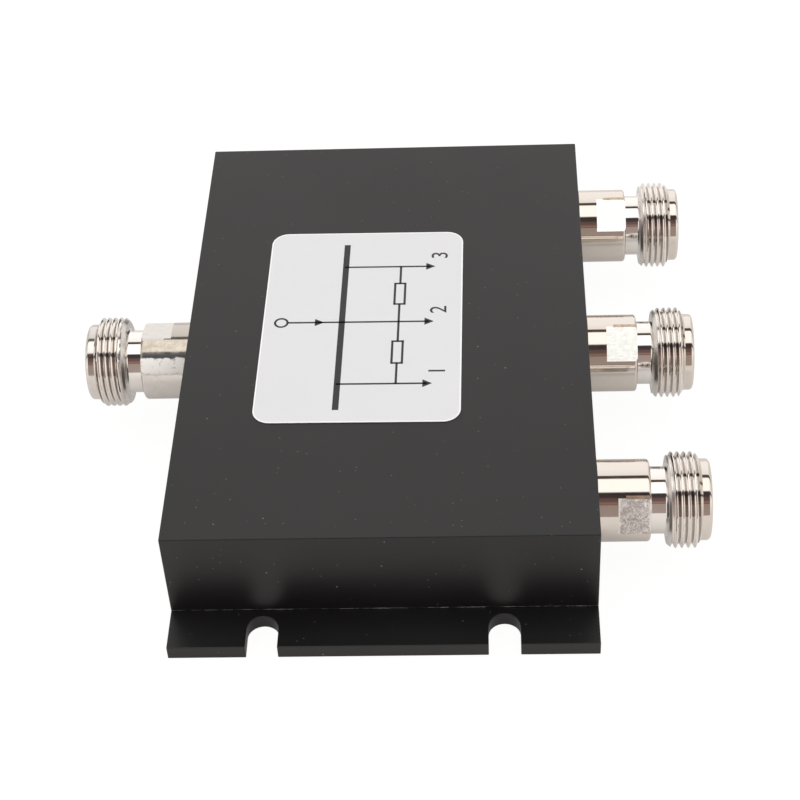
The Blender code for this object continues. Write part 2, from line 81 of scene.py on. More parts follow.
# Sockets: along the axis from the box's side wall outwards
AXIS_HEIGHT = 0.0115
OUTPUT_PITCH = 0.0360
SPIGOT_RADIUS = 0.0054
SPIGOT_CHAMFER = 0.0004
BARREL_RADIUS = 0.0068
BARREL_END = 0.00875
BARREL_ROUNDING = 0.0005
NECK_RADIUS = 0.00555
NECK_END = 0.0115
NECK_FILLET = 0.0005
CREST_RADIUS = 0.0079375
ROOT_RADIUS = 0.00721
HEAD_END = 0.0170
HEAD_BEVEL = 0.00065
HEAD_BEVEL_LENGTH = 0.0009
HEAD_SLOPE = 0.00087
THREAD_PITCH = 0.0010583
THREAD_START = 0.010415
CREST_HALF_WIDTH = 0.00006
CREST_ROUNDING = 0.00006
ROOT_LAND = 0.00006
SLIVER = 0.000002
LIP_RADIUS = 0.006725
LIP_ROUNDING = 0.0006
SUPPORT = 0.0001
FACE = 0.0186
FLATS_HALF = 0.0060
FLATS_START = 0.00335
FLATS_FACET_LEVEL = 0.0067
FLATS_FACET_TURN = math.radians(22)
FLATS_FACET_START = 0.0046
BORE_RADIUS = 0.00405
BORE_FLOOR = 0.0095
BORE_CHAMFER = 0.0003
INSULATOR_RADIUS = 0.0032
COLLAR_RADIUS = 0.0040
COLLAR_END = 0.0007
CONTACT_RADIUS = 0.00152
CONTACT_TIP = 0.0143
CONTACT_SHOULDER = 0.0028
CONTACT_HOLE_RADIUS = 0.0008
CONTACT_HOLE_DEPTH = 0.0050
CONTACT_SLOT = 0.0004
CONTACT_SLOT_DEPTH = 0.0040
PIN_RADIUS = 0.00065
PIN_END = -0.0090

# Label
LABEL_HALF_WIDTH = 0.01755
LABEL_HALF_LENGTH = 0.0250
LABEL_CORNER = 0.0030
LABEL_BOTTOM = 0.01985
LABEL_TOP = 0.01999
LABEL_EDGE = 0.00003
# Width of the label's pale rim, a painted highlight along its edge
LABEL_PAINTED_RIM = 0.0002
LABEL_PLACE = (-0.0044, -0.00025, 0.0)
LABEL_TURN = math.radians(-0.5)
INK_TOP = 0.0200
INK_DEPTH = 0.00003

# Steps round a full circle
SOCKET_STEPS = 96
CONTACT_STEPS = 48
SCREW_STEPS = 36
SMOOTH_ANGLE = math.radians(24)
FLAT_SMOOTH_ANGLE = math.radians(14)

# side is -1 at -X and 1 at +X, row counts pitches along Y. The flats' turn is about the axis
# that points out of the box, and the thread's start is turned by whole steps of the spin
Socket = namedtuple("Socket", "name side row flats_turn thread_steps")
SOCKETS = (
    Socket("input", -1, 0, math.radians(106), 58),
    Socket("output_1", 1, -1, math.radians(-21), 0),
    Socket("output_2", 1, 0, math.radians(-58), 71),
    Socket("output_3", 1, 1, math.radians(-58), 0),
)


# Picking, editing and cutting

def nothing_selected():
    current = bpy.context.view_layer.objects.active
    if current and current.mode != "OBJECT":
        bpy.ops.object.mode_set(mode="OBJECT")
    bpy.ops.object.select_all(action="DESELECT")


def pick(item):
    nothing_selected()
    item.select_set(True)
    bpy.context.view_layer.objects.active = item


def edit(item, kind):
    pick(item)
    bpy.ops.object.mode_set(mode="EDIT")
    bpy.ops.mesh.select_mode(type=kind)
    bpy.ops.mesh.select_all(action="DESELECT")


def leave_edit():
    bpy.ops.object.mode_set(mode="OBJECT")


def select_verts(item, test):
    shape = bmesh.from_edit_mesh(item.data)
    for vert in shape.verts:
        vert.select_set(test(vert.co))
    shape.select_flush(True)
    bmesh.update_edit_mesh(item.data)


def select_edges(item, test):
    """Selects the edges whose two ends pass a test."""
    shape = bmesh.from_edit_mesh(item.data)
    for edge in shape.edges:
        edge.select_set(test(edge.verts[0].co, edge.verts[1].co))
    shape.select_flush_mode()
    bmesh.update_edit_mesh(item.data)


def settle(item):
    """Puts the object's place, turn and size into its mesh."""
    pick(item)
    bpy.ops.object.transform_apply(location=True, rotation=True, scale=True)
    return item


def name_piece(name):
    item = bpy.context.object
    item.name = name
    item.data.name = name
    return item


def finish_step(item, step):
    pick(item)
    bpy.ops.object.modifier_apply(modifier=step.name)


def carve(item, cutter, operation="DIFFERENCE"):
    step = item.modifiers.new("carve", "BOOLEAN")
    step.operation = operation
    step.solver = "EXACT"
    step.object = cutter
    finish_step(item, step)
    bpy.data.objects.remove(cutter, do_unlink=True)
    return item


def round_edges(item, width, segments, angle=math.radians(40)):
    step = item.modifiers.new("rounding", "BEVEL")
    step.width = width
    step.segments = segments
    step.limit_method = "ANGLE"
    step.angle_limit = angle
    step.harden_normals = False
    finish_step(item, step)
    return item


def join(items, name):
    pick(items[0])
    for item in items[1:]:
        item.select_set(True)
    bpy.ops.object.join()
    return name_piece(name)


def smooth(item, angle=SMOOTH_ANGLE):
    pick(item)
    bpy.ops.object.shade_smooth_by_angle(angle=angle)
    return item


def twin(item, name):
    """A copy with a mesh of its own."""
    copy = item.copy()
    copy.data = item.data.copy()
    bpy.context.scene.collection.objects.link(copy)
    copy.name = name
    copy.data.name = name
    return copy


def move_to(item, matrix):
    item.matrix_world = matrix
    bpy.context.view_layer.update()
    return settle(item)


# Starting shapes

def block(name, low, high):
    nothing_selected()
    size = [b - a for a, b in zip(low, high)]
    middle = [(a + b) / 2 for a, b in zip(low, high)]
    bpy.ops.mesh.primitive_cube_add(size=1, location=middle, scale=size)
    return settle(name_piece(name))


def upright(name, x, y, radius, bottom, top, steps=SCREW_STEPS):
    nothing_selected()
    bpy.ops.mesh.primitive_cylinder_add(vertices=steps, radius=radius, depth=top - bottom,
                                        location=(x, y, (bottom + top) / 2))
    return settle(name_piece(name))


def turned(name, profile, steps, upright_axis=False, closed=True):
    """Draws a half section of (along, radius) points and spins it round X, or round Z."""
    if upright_axis:
        axis = (0, 0, 1)
        points = [Vector((radius, 0, along)) for along, radius in profile]
    else:
        axis = (1, 0, 0)
        points = [Vector((along, 0, radius)) for along, radius in profile]
    nothing_selected()
    bpy.ops.mesh.primitive_plane_add(size=0.001, location=(0, 0, 0))
    item = name_piece(name)
    edit(item, "VERT")
    bpy.ops.mesh.select_all(action="SELECT")
    bpy.ops.mesh.merge(type="CENTER")
    bpy.ops.transform.translate(value=points[0])
    for here, there in zip(points, points[1:]):
        bpy.ops.mesh.extrude_vertices_move(TRANSFORM_OT_translate={"value": there - here})
    if closed:
        ends = (points[0], points[-1])
        select_verts(item, lambda place: min((place - end).length for end in ends) < 1e-7)
        bpy.ops.mesh.edge_face_add()
    bpy.ops.mesh.select_all(action="SELECT")
    bpy.ops.mesh.spin(steps=steps, angle=2 * math.pi, center=(0, 0, 0), axis=axis)
    bpy.ops.mesh.select_all(action="SELECT")
    bpy.ops.mesh.remove_doubles(threshold=1e-7)
    bpy.ops.mesh.normals_make_consistent(inside=False)
    leave_edit()
    return item


def quarter(along, radius, size, start, end, count=5):
    """Points of a rounding in a half section, between two angles in degrees."""
    points = []
    for step in range(count + 1):
        angle = math.radians(start + (end - start) * step / count)
        points.append((along + size * math.cos(angle), radius + size * math.sin(angle)))
    return points


# Materials

def new_finish(name, colour, roughness, metallic=0.0):
    made = bpy.data.materials.new(name)
    made.use_nodes = True
    made.diffuse_color = (*colour, 1.0)
    shader = made.node_tree.nodes["Principled BSDF"]
    shader.inputs["Base Color"].default_value = (*colour, 1.0)
    shader.inputs["Roughness"].default_value = roughness
    shader.inputs["Metallic"].default_value = metallic
    return made, made.node_tree, shader


def object_places(tree, stretch=(1, 1, 1)):
    places = tree.nodes.new("ShaderNodeTexCoord")
    mapping = tree.nodes.new("ShaderNodeMapping")
    mapping.inputs["Scale"].default_value = stretch
    tree.links.new(places.outputs["Object"], mapping.inputs["Vector"])
    return mapping.outputs["Vector"]


def noise(tree, places, scale, detail=2.0, roughness=0.5):
    made = tree.nodes.new("ShaderNodeTexNoise")
    made.inputs["Scale"].default_value = scale
    made.inputs["Detail"].default_value = detail
    made.inputs["Roughness"].default_value = roughness
    tree.links.new(places, made.inputs["Vector"])
    return made.outputs["Fac"]


def spread(tree, value, low, high, new_low, new_high, kind="LINEAR"):
    """Maps one range of a value to another."""
    made = tree.nodes.new("ShaderNodeMapRange")
    made.interpolation_type = kind
    made.inputs["From Min"].default_value = low
    made.inputs["From Max"].default_value = high
    made.inputs["To Min"].default_value = new_low
    made.inputs["To Max"].default_value = new_high
    tree.links.new(value, made.inputs["Value"])
    return made.outputs["Result"]


def combine(tree, operation, first, second):
    made = tree.nodes.new("ShaderNodeMath")
    made.operation = operation
    for socket, value in zip(made.inputs, (first, second)):
        if isinstance(value, (int, float)):
            socket.default_value = value
        else:
            tree.links.new(value, socket)
    return made.outputs["Value"]


def colour_sockets(mix):
    return mix.inputs[6], mix.inputs[7]


def bump(tree, shader, height, strength, distance):
    made = tree.nodes.new("ShaderNodeBump")
    made.inputs["Strength"].default_value = strength
    made.inputs["Distance"].default_value = distance
    tree.links.new(height, made.inputs["Height"])
    tree.links.new(made.outputs["Normal"], shader.inputs["Normal"])
    return made


def blend_colours(tree, share, colour, other):
    made = tree.nodes.new("ShaderNodeMix")
    made.data_type = "RGBA"
    tree.links.new(share, made.inputs[0])
    for socket, value in zip(colour_sockets(made), (colour, other)):
        if isinstance(value, tuple):
            socket.default_value = (*value, 1.0)
        else:
            tree.links.new(value, socket)
    return made.outputs[2]


def dust(tree, places, scale, size, share):
    """Sparse round specks: 1 on a speck, 0 elsewhere."""
    cells = tree.nodes.new("ShaderNodeTexVoronoi")
    cells.inputs["Scale"].default_value = scale
    tree.links.new(places, cells.inputs["Vector"])
    speck = spread(tree, cells.outputs["Distance"], size * 0.5, size, 1, 0)
    pick_some = tree.nodes.new("ShaderNodeSeparateColor")
    tree.links.new(cells.outputs["Color"], pick_some.inputs["Color"])
    chosen = combine(tree, "LESS_THAN", pick_some.outputs["Red"], share)
    return combine(tree, "MULTIPLY", speck, chosen)


ANODISE = (0.0042, 0.0036, 0.0043)


def black_anodise(name, worn_foot=False):
    made, tree, shader = new_finish(name, ANODISE, 0.40)
    shader.inputs["IOR"].default_value = 1.53
    places = object_places(tree)
    grain = noise(tree, places, 6500, 3.0)
    clouds = noise(tree, places, 38, 3.0)
    rough = spread(tree, clouds, 0.3, 0.7, 0.37, 0.43)
    tree.links.new(rough, shader.inputs["Roughness"])
    fine_dust = combine(tree, "MULTIPLY", dust(tree, places, 700, 0.096, 0.37), 0.50)
    specks = combine(tree, "MAXIMUM", fine_dust, dust(tree, places, 260, 0.046, 0.49))
    shade = blend_colours(tree, clouds, (0.0036, 0.0030, 0.0037), (0.0048, 0.0042, 0.0049))
    colour = blend_colours(tree, specks, shade, (0.200, 0.195, 0.190))
    if worn_foot:
        axes = tree.nodes.new("ShaderNodeSeparateXYZ")
        tree.links.new(places, axes.inputs["Vector"])
        low = spread(tree, axes.outputs["Z"], 0.00285, 0.00292, 1, 0)
        patches = spread(tree, noise(tree, places, 500, 5.0, 0.65), 0.44, 0.64, 0.06, 1)
        wear = combine(tree, "MULTIPLY", low, patches)
        colour = blend_colours(tree, wear, colour, (0.42, 0.405, 0.39))
    tree.links.new(colour, shader.inputs["Base Color"])
    bump(tree, shader, grain, 0.40, 0.00002)
    return made


def nickel_plate(name, colour, roughness, blur=0.0):
    """Bright plating over fine lathe lines."""
    made, tree, shader = new_finish(name, colour, roughness, 1.0)
    places = object_places(tree)
    clouds = noise(tree, places, 500, 2.0)
    rough = spread(tree, clouds, 0.35, 0.65, roughness, roughness + 0.03 + blur)
    tree.links.new(rough, shader.inputs["Roughness"])
    lathe = noise(tree, object_places(tree, (14000, 40, 40)), 1.0, 1.0)
    waves = noise(tree, places, 900, 1.0)
    height = combine(tree, "MULTIPLY_ADD", waves, 0.8)
    height.node.inputs[2].default_value = 0.0
    tree.links.new(lathe, height.node.inputs[2])
    darker = tuple(0.975 * part for part in colour)
    lighter = tuple(min(1.0, 1.025 * part) for part in colour)
    shade = blend_colours(tree, clouds, darker, lighter)
    tree.links.new(shade, shader.inputs["Base Color"])
    bump(tree, shader, height, 0.12, 0.000004)
    return made


def thread_nickel(name):
    """Plating of the threaded head: painted shade in the thread's roots and dull on the rear
    bevel.
    """
    made, tree, shader = new_finish(name, (0.87, 0.835, 0.80), 0.08, 1.0)
    places = object_places(tree)
    axes = tree.nodes.new("ShaderNodeSeparateXYZ")
    tree.links.new(places, axes.inputs["Vector"])
    across = combine(tree, "WRAP", axes.outputs["Y"], OUTPUT_PITCH / 2)
    across.node.inputs[2].default_value = -OUTPUT_PITCH / 2
    above = combine(tree, "SUBTRACT", axes.outputs["Z"], AXIS_HEIGHT)
    from_axis = combine(tree, "POWER",
                        combine(tree, "ADD", combine(tree, "MULTIPLY", across, across),
                                combine(tree, "MULTIPLY", above, above)), 0.5)
    along = combine(tree, "ABSOLUTE", axes.outputs["X"], 0)
    on_head = combine(tree, "MULTIPLY",
                      combine(tree, "GREATER_THAN", along, HALF_WIDTH + NECK_END + 0.0009),
                      combine(tree, "LESS_THAN", along, HALF_WIDTH + HEAD_END - 0.0003))
    # Painted shade: faces near the root radius on the head are painted darker, where the grooves
    # lie in shade.
    painted_root_shade = combine(tree, "MULTIPLY", on_head,
                   spread(tree, from_axis, ROOT_RADIUS + 0.00001, ROOT_RADIUS + 0.00009, 1, 0))
    clouds = noise(tree, places, 900, 3.0)
    light = blend_colours(tree, clouds, (0.88, 0.845, 0.815), (0.95, 0.92, 0.89))
    tree.links.new(blend_colours(tree, painted_root_shade, light, (0.42, 0.37, 0.33)),
                   shader.inputs["Base Color"])
    bevel = spread(tree, along, HALF_WIDTH + NECK_END + 0.0006,
                   HALF_WIDTH + NECK_END + 0.0010, 0.30, 0.08)
    tree.links.new(bevel, shader.inputs["Roughness"])
    bump(tree, shader, noise(tree, places, 1800, 2.0), 0.15, 0.000006)
    return made


def milled_nickel(name):
    """A flat left rough by the mill: a fine tooth, pale curved scratches and pale ends."""
    made, tree, shader = new_finish(name, (0.80, 0.75, 0.71), 0.5, 0.25)
    places = object_places(tree)
    tooth = noise(tree, places, 1300, 3.0, 0.65)
    tooth.node.inputs["Distortion"].default_value = 1.5
    swirls = noise(tree, places, 800, 2.0)
    swirls.node.inputs["Distortion"].default_value = 2.0
    from_line = combine(tree, "ABSOLUTE", combine(tree, "SUBTRACT", swirls, 0.5), 0)
    scratches = spread(tree, from_line, 0.0, 0.030, 0.42, 0)
    axes = tree.nodes.new("ShaderNodeSeparateXYZ")
    tree.links.new(places, axes.inputs["Vector"])
    near_end = combine(tree, "MAXIMUM",
                       spread(tree, axes.outputs["X"], HALF_WIDTH + FLATS_START + 0.0002,
                              HALF_WIDTH + FLATS_START + 0.0004, 0.30, 0),
                       spread(tree, axes.outputs["X"], HALF_WIDTH + BARREL_END - 0.0004,
                              HALF_WIDTH + BARREL_END - 0.0002, 0, 0.22))
    height = combine(tree, "ADD", combine(tree, "ADD", tooth, scratches), near_end)
    worn = spread(tree, height, 0.42, 0.66, 0, 1)
    shade = blend_colours(tree, worn, (0.48, 0.42, 0.39), (0.96, 0.93, 0.90))
    tree.links.new(shade, shader.inputs["Base Color"])
    tree.links.new(spread(tree, worn, 0, 1, 0.62, 0.78), shader.inputs["Roughness"])
    bump(tree, shader, height, 1.0, 0.00010)
    return made


def ground_nickel(name, colour, roughness, contrast):
    """A narrow facet or a flat smoothed by a file, with faint scratches along it."""
    made, tree, shader = new_finish(name, colour, roughness, 1.0)
    places = object_places(tree)
    clouds = noise(tree, places, 1300, 3.0, 0.6)
    scratches = noise(tree, object_places(tree, (500, 7000, 7000)), 1.0, 2.0)
    height = combine(tree, "ADD", clouds, scratches)
    worn = spread(tree, height, 0.80, 1.15, 0, 1)
    darker = tuple((1 - contrast) * part for part in colour)
    shade = blend_colours(tree, worn, darker, colour)
    tree.links.new(shade, shader.inputs["Base Color"])
    tree.links.new(spread(tree, worn, 0, 1, roughness + 0.06, roughness),
                   shader.inputs["Roughness"])
    bump(tree, shader, height, contrast, 0.00001)
    return made


def worn_nickel(name):
    """Dulled plating with a ground patch along the barrel, painted reflection bands and painted
    shade, told apart by the angle.
    """
    colour = (0.79, 0.745, 0.70)
    made, tree, shader = new_finish(name, colour, 0.13, 1.0)
    places = object_places(tree)
    axes = tree.nodes.new("ShaderNodeSeparateXYZ")
    tree.links.new(places, axes.inputs["Vector"])
    above = combine(tree, "SUBTRACT", axes.outputs["Z"], AXIS_HEIGHT)
    turn = combine(tree, "ARCTAN2", above, axes.outputs["Y"])
    patches = noise(tree, places, 900, 4.0, 0.6)
    ragged = combine(tree, "MULTIPLY_ADD", patches, 0.16)
    tree.links.new(turn, ragged.node.inputs[2])
    begins = spread(tree, ragged, math.radians(137), math.radians(139), 0, 1)
    ends = spread(tree, ragged, math.radians(160), math.radians(165), 1, 0)
    inboard = spread(tree, axes.outputs["X"], -0.0438, -0.0436, 0, 1)
    patch = combine(tree, "MULTIPLY", combine(tree, "MULTIPLY", begins, ends), inboard)
    # Painted reflection: a beige band across the upper front of the barrel.
    painted_beige_reflection = combine(tree, "MULTIPLY",
                      spread(tree, ragged, math.radians(108), math.radians(111), 0, 1),
                      spread(tree, ragged, math.radians(131), math.radians(133), 1, 0))
    spots = spread(tree, patches, 0.35, 0.44, 0, 1)
    ground = blend_colours(tree, spots, (0.62, 0.54, 0.47), (1.0, 0.985, 0.94))
    clean = blend_colours(tree, patches, (0.70, 0.665, 0.63), (0.88, 0.84, 0.80))
    # Painted reflection: a blue-grey band on the front of the barrel, which is also made
    # rougher.
    painted_grey_reflection = combine(tree, "MULTIPLY",
                        spread(tree, ragged, math.radians(129), math.radians(132), 0, 1),
                        combine(tree, "LESS_THAN", ragged, math.radians(150)))
    painted_grey_reflection = combine(tree, "MULTIPLY", painted_grey_reflection, inboard)
    # Painted shade: the upper side of the barrel is painted darker than the lower side.
    upper = combine(tree, "MULTIPLY", combine(tree, "GREATER_THAN", above, 0),
                    spread(tree, ragged, math.radians(108), math.radians(109), 1, 0))
    # Painted shade: the upper side next to the box wall is painted darker still.
    painted_shade_by_box = combine(tree, "MULTIPLY", upper,
                     spread(tree, axes.outputs["X"], -0.03840, -0.03830, 0, 1))
    painted_upper_shade = blend_colours(tree, patches, (0.62, 0.595, 0.565), (0.78, 0.755, 0.725))
    with_painted_shade = blend_colours(tree, painted_shade_by_box, blend_colours(tree, upper, clean, painted_upper_shade),
                           (0.57, 0.53, 0.485))
    plain = blend_colours(tree, painted_grey_reflection, with_painted_shade, (0.44, 0.50, 0.55))
    reflected_beige = blend_colours(tree, spread(tree, patches, 0.35, 0.65, 0, 1),
                          (0.50, 0.43, 0.36), (0.66, 0.59, 0.51))
    toned = blend_colours(tree, combine(tree, "MULTIPLY", painted_beige_reflection, inboard), plain, reflected_beige)
    tree.links.new(blend_colours(tree, patch, toned, ground), shader.inputs["Base Color"])
    dull = spread(tree, painted_grey_reflection, 0, 1, 0.13, 0.24)
    rough = combine(tree, "MAXIMUM", dull, combine(tree, "MULTIPLY", patch, 0.70))
    tree.links.new(rough, shader.inputs["Roughness"])
    tree.links.new(spread(tree, patch, 0, 1, 1.0, 0.08), shader.inputs["Metallic"])
    lathe = noise(tree, object_places(tree, (9000, 40, 40)), 1.0, 1.0)
    height = combine(tree, "ADD", patches, lathe)
    bump(tree, shader, height, 0.2, 0.00001)
    return made


def gold_plate():
    made, tree, shader = new_finish("contact_gold", (0.86, 0.62, 0.26), 0.2, 1.0)
    places = object_places(tree)
    clouds = noise(tree, places, 1800, 2.0)
    tree.links.new(spread(tree, clouds, 0.3, 0.7, 0.15, 0.26), shader.inputs["Roughness"])
    shade = blend_colours(tree, clouds, (0.80, 0.56, 0.22), (0.90, 0.66, 0.30))
    tree.links.new(shade, shader.inputs["Base Color"])
    lathe = noise(tree, object_places(tree, (16000, 60, 60)), 1.0, 1.0)
    bump(tree, shader, lathe, 0.15, 0.000004)
    return made


def white_insulator():
    made, tree, shader = new_finish("insulator_white", (0.84, 0.84, 0.82), 0.45)
    places = object_places(tree)
    clouds = noise(tree, places, 600, 3.0)
    shade = blend_colours(tree, clouds, (0.80, 0.80, 0.775), (0.88, 0.88, 0.865))
    tree.links.new(shade, shader.inputs["Base Color"])
    tree.links.new(spread(tree, clouds, 0.3, 0.7, 0.40, 0.52), shader.inputs["Roughness"])
    lathe = noise(tree, object_places(tree, (9000, 40, 40)), 1.0, 1.0)
    bump(tree, shader, lathe, 0.2, 0.00001)
    return made


def screw_steel():
    made, tree, shader = new_finish("screw_steel_bright", (0.52, 0.52, 0.53), 0.3, 1.0)
    places = object_places(tree)
    clouds = noise(tree, places, 1500, 3.0)
    shade = blend_colours(tree, clouds, (0.46, 0.46, 0.47), (0.60, 0.60, 0.61))
    tree.links.new(shade, shader.inputs["Base Color"])
    tree.links.new(spread(tree, clouds, 0.3, 0.7, 0.24, 0.38), shader.inputs["Roughness"])
    bump(tree, shader, noise(tree, places, 7000, 2.0), 0.2, 0.00001)
    return made


def board_laminate():
    """Woven glass laminate: a faint square weave in a straw-coloured resin."""
    made, tree, shader = new_finish("board_weave", (0.60, 0.53, 0.34), 0.5)
    places = object_places(tree)
    weave = []
    for direction in ("X", "Y"):
        bands = tree.nodes.new("ShaderNodeTexWave")
        bands.bands_direction = direction
        bands.inputs["Scale"].default_value = 900
        bands.inputs["Distortion"].default_value = 0.6
        tree.links.new(places, bands.inputs["Vector"])
        weave.append(bands.outputs["Fac"])
    cloth = combine(tree, "MULTIPLY", *weave)
    shade = blend_colours(tree, cloth, (0.56, 0.49, 0.30), (0.68, 0.61, 0.42))
    tree.links.new(shade, shader.inputs["Base Color"])
    bump(tree, shader, cloth, 0.2, 0.00003)
    return made


def track_copper():
    made, tree, shader = new_finish("track_copper", (0.72, 0.42, 0.26), 0.3, 1.0)
    places = object_places(tree)
    clouds = noise(tree, places, 260, 4.0)
    shade = blend_colours(tree, clouds, (0.60, 0.33, 0.20), (0.80, 0.49, 0.32))
    tree.links.new(shade, shader.inputs["Base Color"])
    tree.links.new(spread(tree, clouds, 0.3, 0.7, 0.24, 0.42), shader.inputs["Roughness"])
    bump(tree, shader, noise(tree, places, 5000, 2.0), 0.2, 0.00001)
    return made


def resistor_ceramic():
    """Black chip body with tinned ends, told apart by the place along the chip."""
    made, tree, shader = new_finish("resistor_ceramic", (0.06, 0.06, 0.07), 0.5)
    places = object_places(tree)
    axes = tree.nodes.new("ShaderNodeSeparateXYZ")
    tree.links.new(places, axes.inputs["Vector"])
    across = combine(tree, "ABSOLUTE", axes.outputs["Y"], 0)
    from_middle = combine(tree, "ABSOLUTE", combine(tree, "SUBTRACT", across, 0.0019), 0)
    ends = combine(tree, "GREATER_THAN", from_middle, 0.0011)
    grain = noise(tree, places, 4000, 2.0)
    body = blend_colours(tree, grain, (0.045, 0.045, 0.052), (0.075, 0.075, 0.085))
    tree.links.new(blend_colours(tree, ends, body, (0.62, 0.62, 0.62)),
                   shader.inputs["Base Color"])
    tree.links.new(ends, shader.inputs["Metallic"])
    bump(tree, shader, grain, 0.3, 0.00001)
    return made


def label_film(name, darker, lighter):
    """Matt film: faint fibre in the tone and a fine tooth."""
    made, tree, shader = new_finish(name, lighter, 0.6)
    places = object_places(tree)
    clouds = noise(tree, places, 120, 4.0, 0.6)
    shade = blend_colours(tree, clouds, darker, lighter)
    specks = dust(tree, places, 130, 0.022, 0.2)
    tree.links.new(blend_colours(tree, specks, shade, (0.45, 0.44, 0.43)),
                   shader.inputs["Base Color"])
    tree.links.new(spread(tree, clouds, 0.3, 0.7, 0.55, 0.68), shader.inputs["Roughness"])
    bump(tree, shader, noise(tree, places, 6000, 2.0), 0.15, 0.00001)
    return made


def print_ink():
    made, tree, shader = new_finish("print_ink", (0.018, 0.018, 0.020), 0.5)
    places = object_places(tree)
    grain = noise(tree, places, 5000, 3.0)
    shade = blend_colours(tree, grain, (0.012, 0.012, 0.014), (0.035, 0.034, 0.036))
    tree.links.new(shade, shader.inputs["Base Color"])
    tree.links.new(spread(tree, grain, 0.3, 0.7, 0.45, 0.6), shader.inputs["Roughness"])
    return made


# Box

def screw_places():
    rows = (-SCREW_END, -SCREW_MIDDLE, SCREW_MIDDLE, SCREW_END)
    return [(x, y) for x in (-SCREW_SIDE, SCREW_SIDE) for y in rows] + [(0, -SCREW_END),
                                                                        (0, SCREW_END)]


def board_screw_places():
    return [(x, y) for y in (-BOARD_SCREW_ROW, BOARD_SCREW_ROW)
            for x in (-BOARD_SCREW_COLUMN, 0, BOARD_SCREW_COLUMN)]


def pocket_shape():
    """The hollow of the box: a block with round corners, less a boss at every screw."""
    margin = 0.0010
    pocket = block("pocket", (WALL - HALF_WIDTH, WALL - HALF_LENGTH, BOX_FOOT - margin),
                   (HALF_WIDTH - WALL, HALF_LENGTH - WALL, POCKET_ROOF))
    edit(pocket, "EDGE")
    select_edges(pocket, lambda a, b: abs(a.z - b.z) > margin)
    bpy.ops.mesh.bevel(offset=POCKET_CORNER, segments=8, affect="EDGES")
    leave_edit()
    for x, y in screw_places():
        boss = upright("boss", x, y, BOSS_RADIUS, BOX_FOOT - 2 * margin, POCKET_ROOF + margin)
        carve(pocket, boss)
    return pocket


def build_housing(black):
    housing = block("housing_shell", (-HALF_WIDTH, -HALF_LENGTH, BOX_FOOT),
                    (HALF_WIDTH, HALF_LENGTH, BOX_TOP))
    round_edges(housing, EDGE_ROUNDING, 3)
    carve(housing, pocket_shape())
    holes = []
    for x, y in screw_places():
        holes.append(upright("screw_hole", x, y, SCREW_RADIUS + SEAT_GAP, BOX_FOOT - 0.001,
                             SCREW_LENGTH + SCREW_RECESS + SEAT_GAP))
    for x, y in board_screw_places():
        holes.append(upright("board_screw_hole", x, y, BOARD_SCREW_RADIUS + SEAT_GAP,
                             POCKET_ROOF - 0.001, BOARD_BOTTOM + BOARD_SCREW_LENGTH))
    for socket in SOCKETS:
        nothing_selected()
        bpy.ops.mesh.primitive_cylinder_add(
            vertices=64, radius=SPIGOT_RADIUS + SEAT_GAP, depth=2 * WALL,
            location=(socket.side * (HALF_WIDTH - WALL / 2), socket.row * OUTPUT_PITCH,
                      AXIS_HEIGHT), rotation=(0, math.pi / 2, 0))
        holes.append(settle(name_piece("port_bore")))
    carve(housing, join(holes, "holes"))
    smooth(housing, FLAT_SMOOTH_ANGLE)
    housing.data.materials.clear()
    housing.data.materials.append(black)
    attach(housing, "root")
    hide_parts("housing")


def slot_cutter(x, side):
    """A round hole drawn out past the plate's edge."""
    centre = side * (PLATE_END - SLOT_DEPTH + SLOT_WIDTH / 2)
    cutter = upright("slot", x, centre, SLOT_WIDTH / 2, -0.001, PLATE_THICKNESS + 0.001, 64)
    edit(cutter, "VERT")
    select_verts(cutter, lambda place: side * (place.y - centre) > 1e-6)
    bpy.ops.transform.translate(value=(0, side * SLOT_DEPTH, 0))
    leave_edit()
    return cutter


def countersink_profile(gap):
    head = SCREW_HEAD_RADIUS + gap
    shank = SCREW_RADIUS + gap
    return [(-0.0006, 0), (-0.0006, head), (SCREW_RECESS, head),
            (SCREW_RECESS + head - shank, shank), (PLATE_THICKNESS + 0.0006, shank),
            (PLATE_THICKNESS + 0.0006, 0)]


def build_base_plate(black):
    plate = block("slotted_base_plate", (-HALF_WIDTH, -PLATE_END, 0),
                  (HALF_WIDTH, PLATE_END, PLATE_THICKNESS))
    for side in (-1, 1):
        for x in (-SLOT_HALF_SPACING, SLOT_HALF_SPACING):
            carve(plate, slot_cutter(x, side))
    round_edges(plate, PLATE_EDGE, 2)
    seats = []
    for x, y in screw_places():
        seat = turned("screw_seat", countersink_profile(SEAT_GAP), SCREW_STEPS, True, False)
        seats.append(move_to(seat, Matrix.Translation((x, y, 0))))
    carve(plate, join(seats, "screw_seats"))
    smooth(plate, FLAT_SMOOTH_ANGLE)
    plate.data.materials.clear()
    plate.data.materials.append(black)
    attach(plate, "root")
    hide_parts("base_plate")


# Screws

def cross_recess(height, reach, depth, width, direction):
    """Two crossed wedges that narrow towards the bottom of the recess."""
    wedges = []
    for number in (0, 1):
        low = min(height - 0.0002 * direction, height + depth * direction)
        high = max(height - 0.0002 * direction, height + depth * direction)
        wedge = block("recess", (-reach, -width / 2, low), (reach, width / 2, high))
        bottom = high if direction > 0 else low
        edit(wedge, "VERT")
        select_verts(wedge, lambda place, level=bottom: abs(place.z - level) < 1e-6)
        bpy.ops.transform.resize(value=(0.35, 0.5, 1), center_override=(0, 0, bottom))
        leave_edit()
        turn = Matrix.Rotation(math.pi / 4 + number * math.pi / 2, 4, "Z")
        wedges.append(move_to(wedge, turn))
    carve(wedges[0], wedges[1], "UNION")
    return wedges[0]


def screw_finish(item, steel, node):
    item.data.materials.clear()
    item.data.materials.append(steel)
    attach(item, "root")
    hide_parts(node)


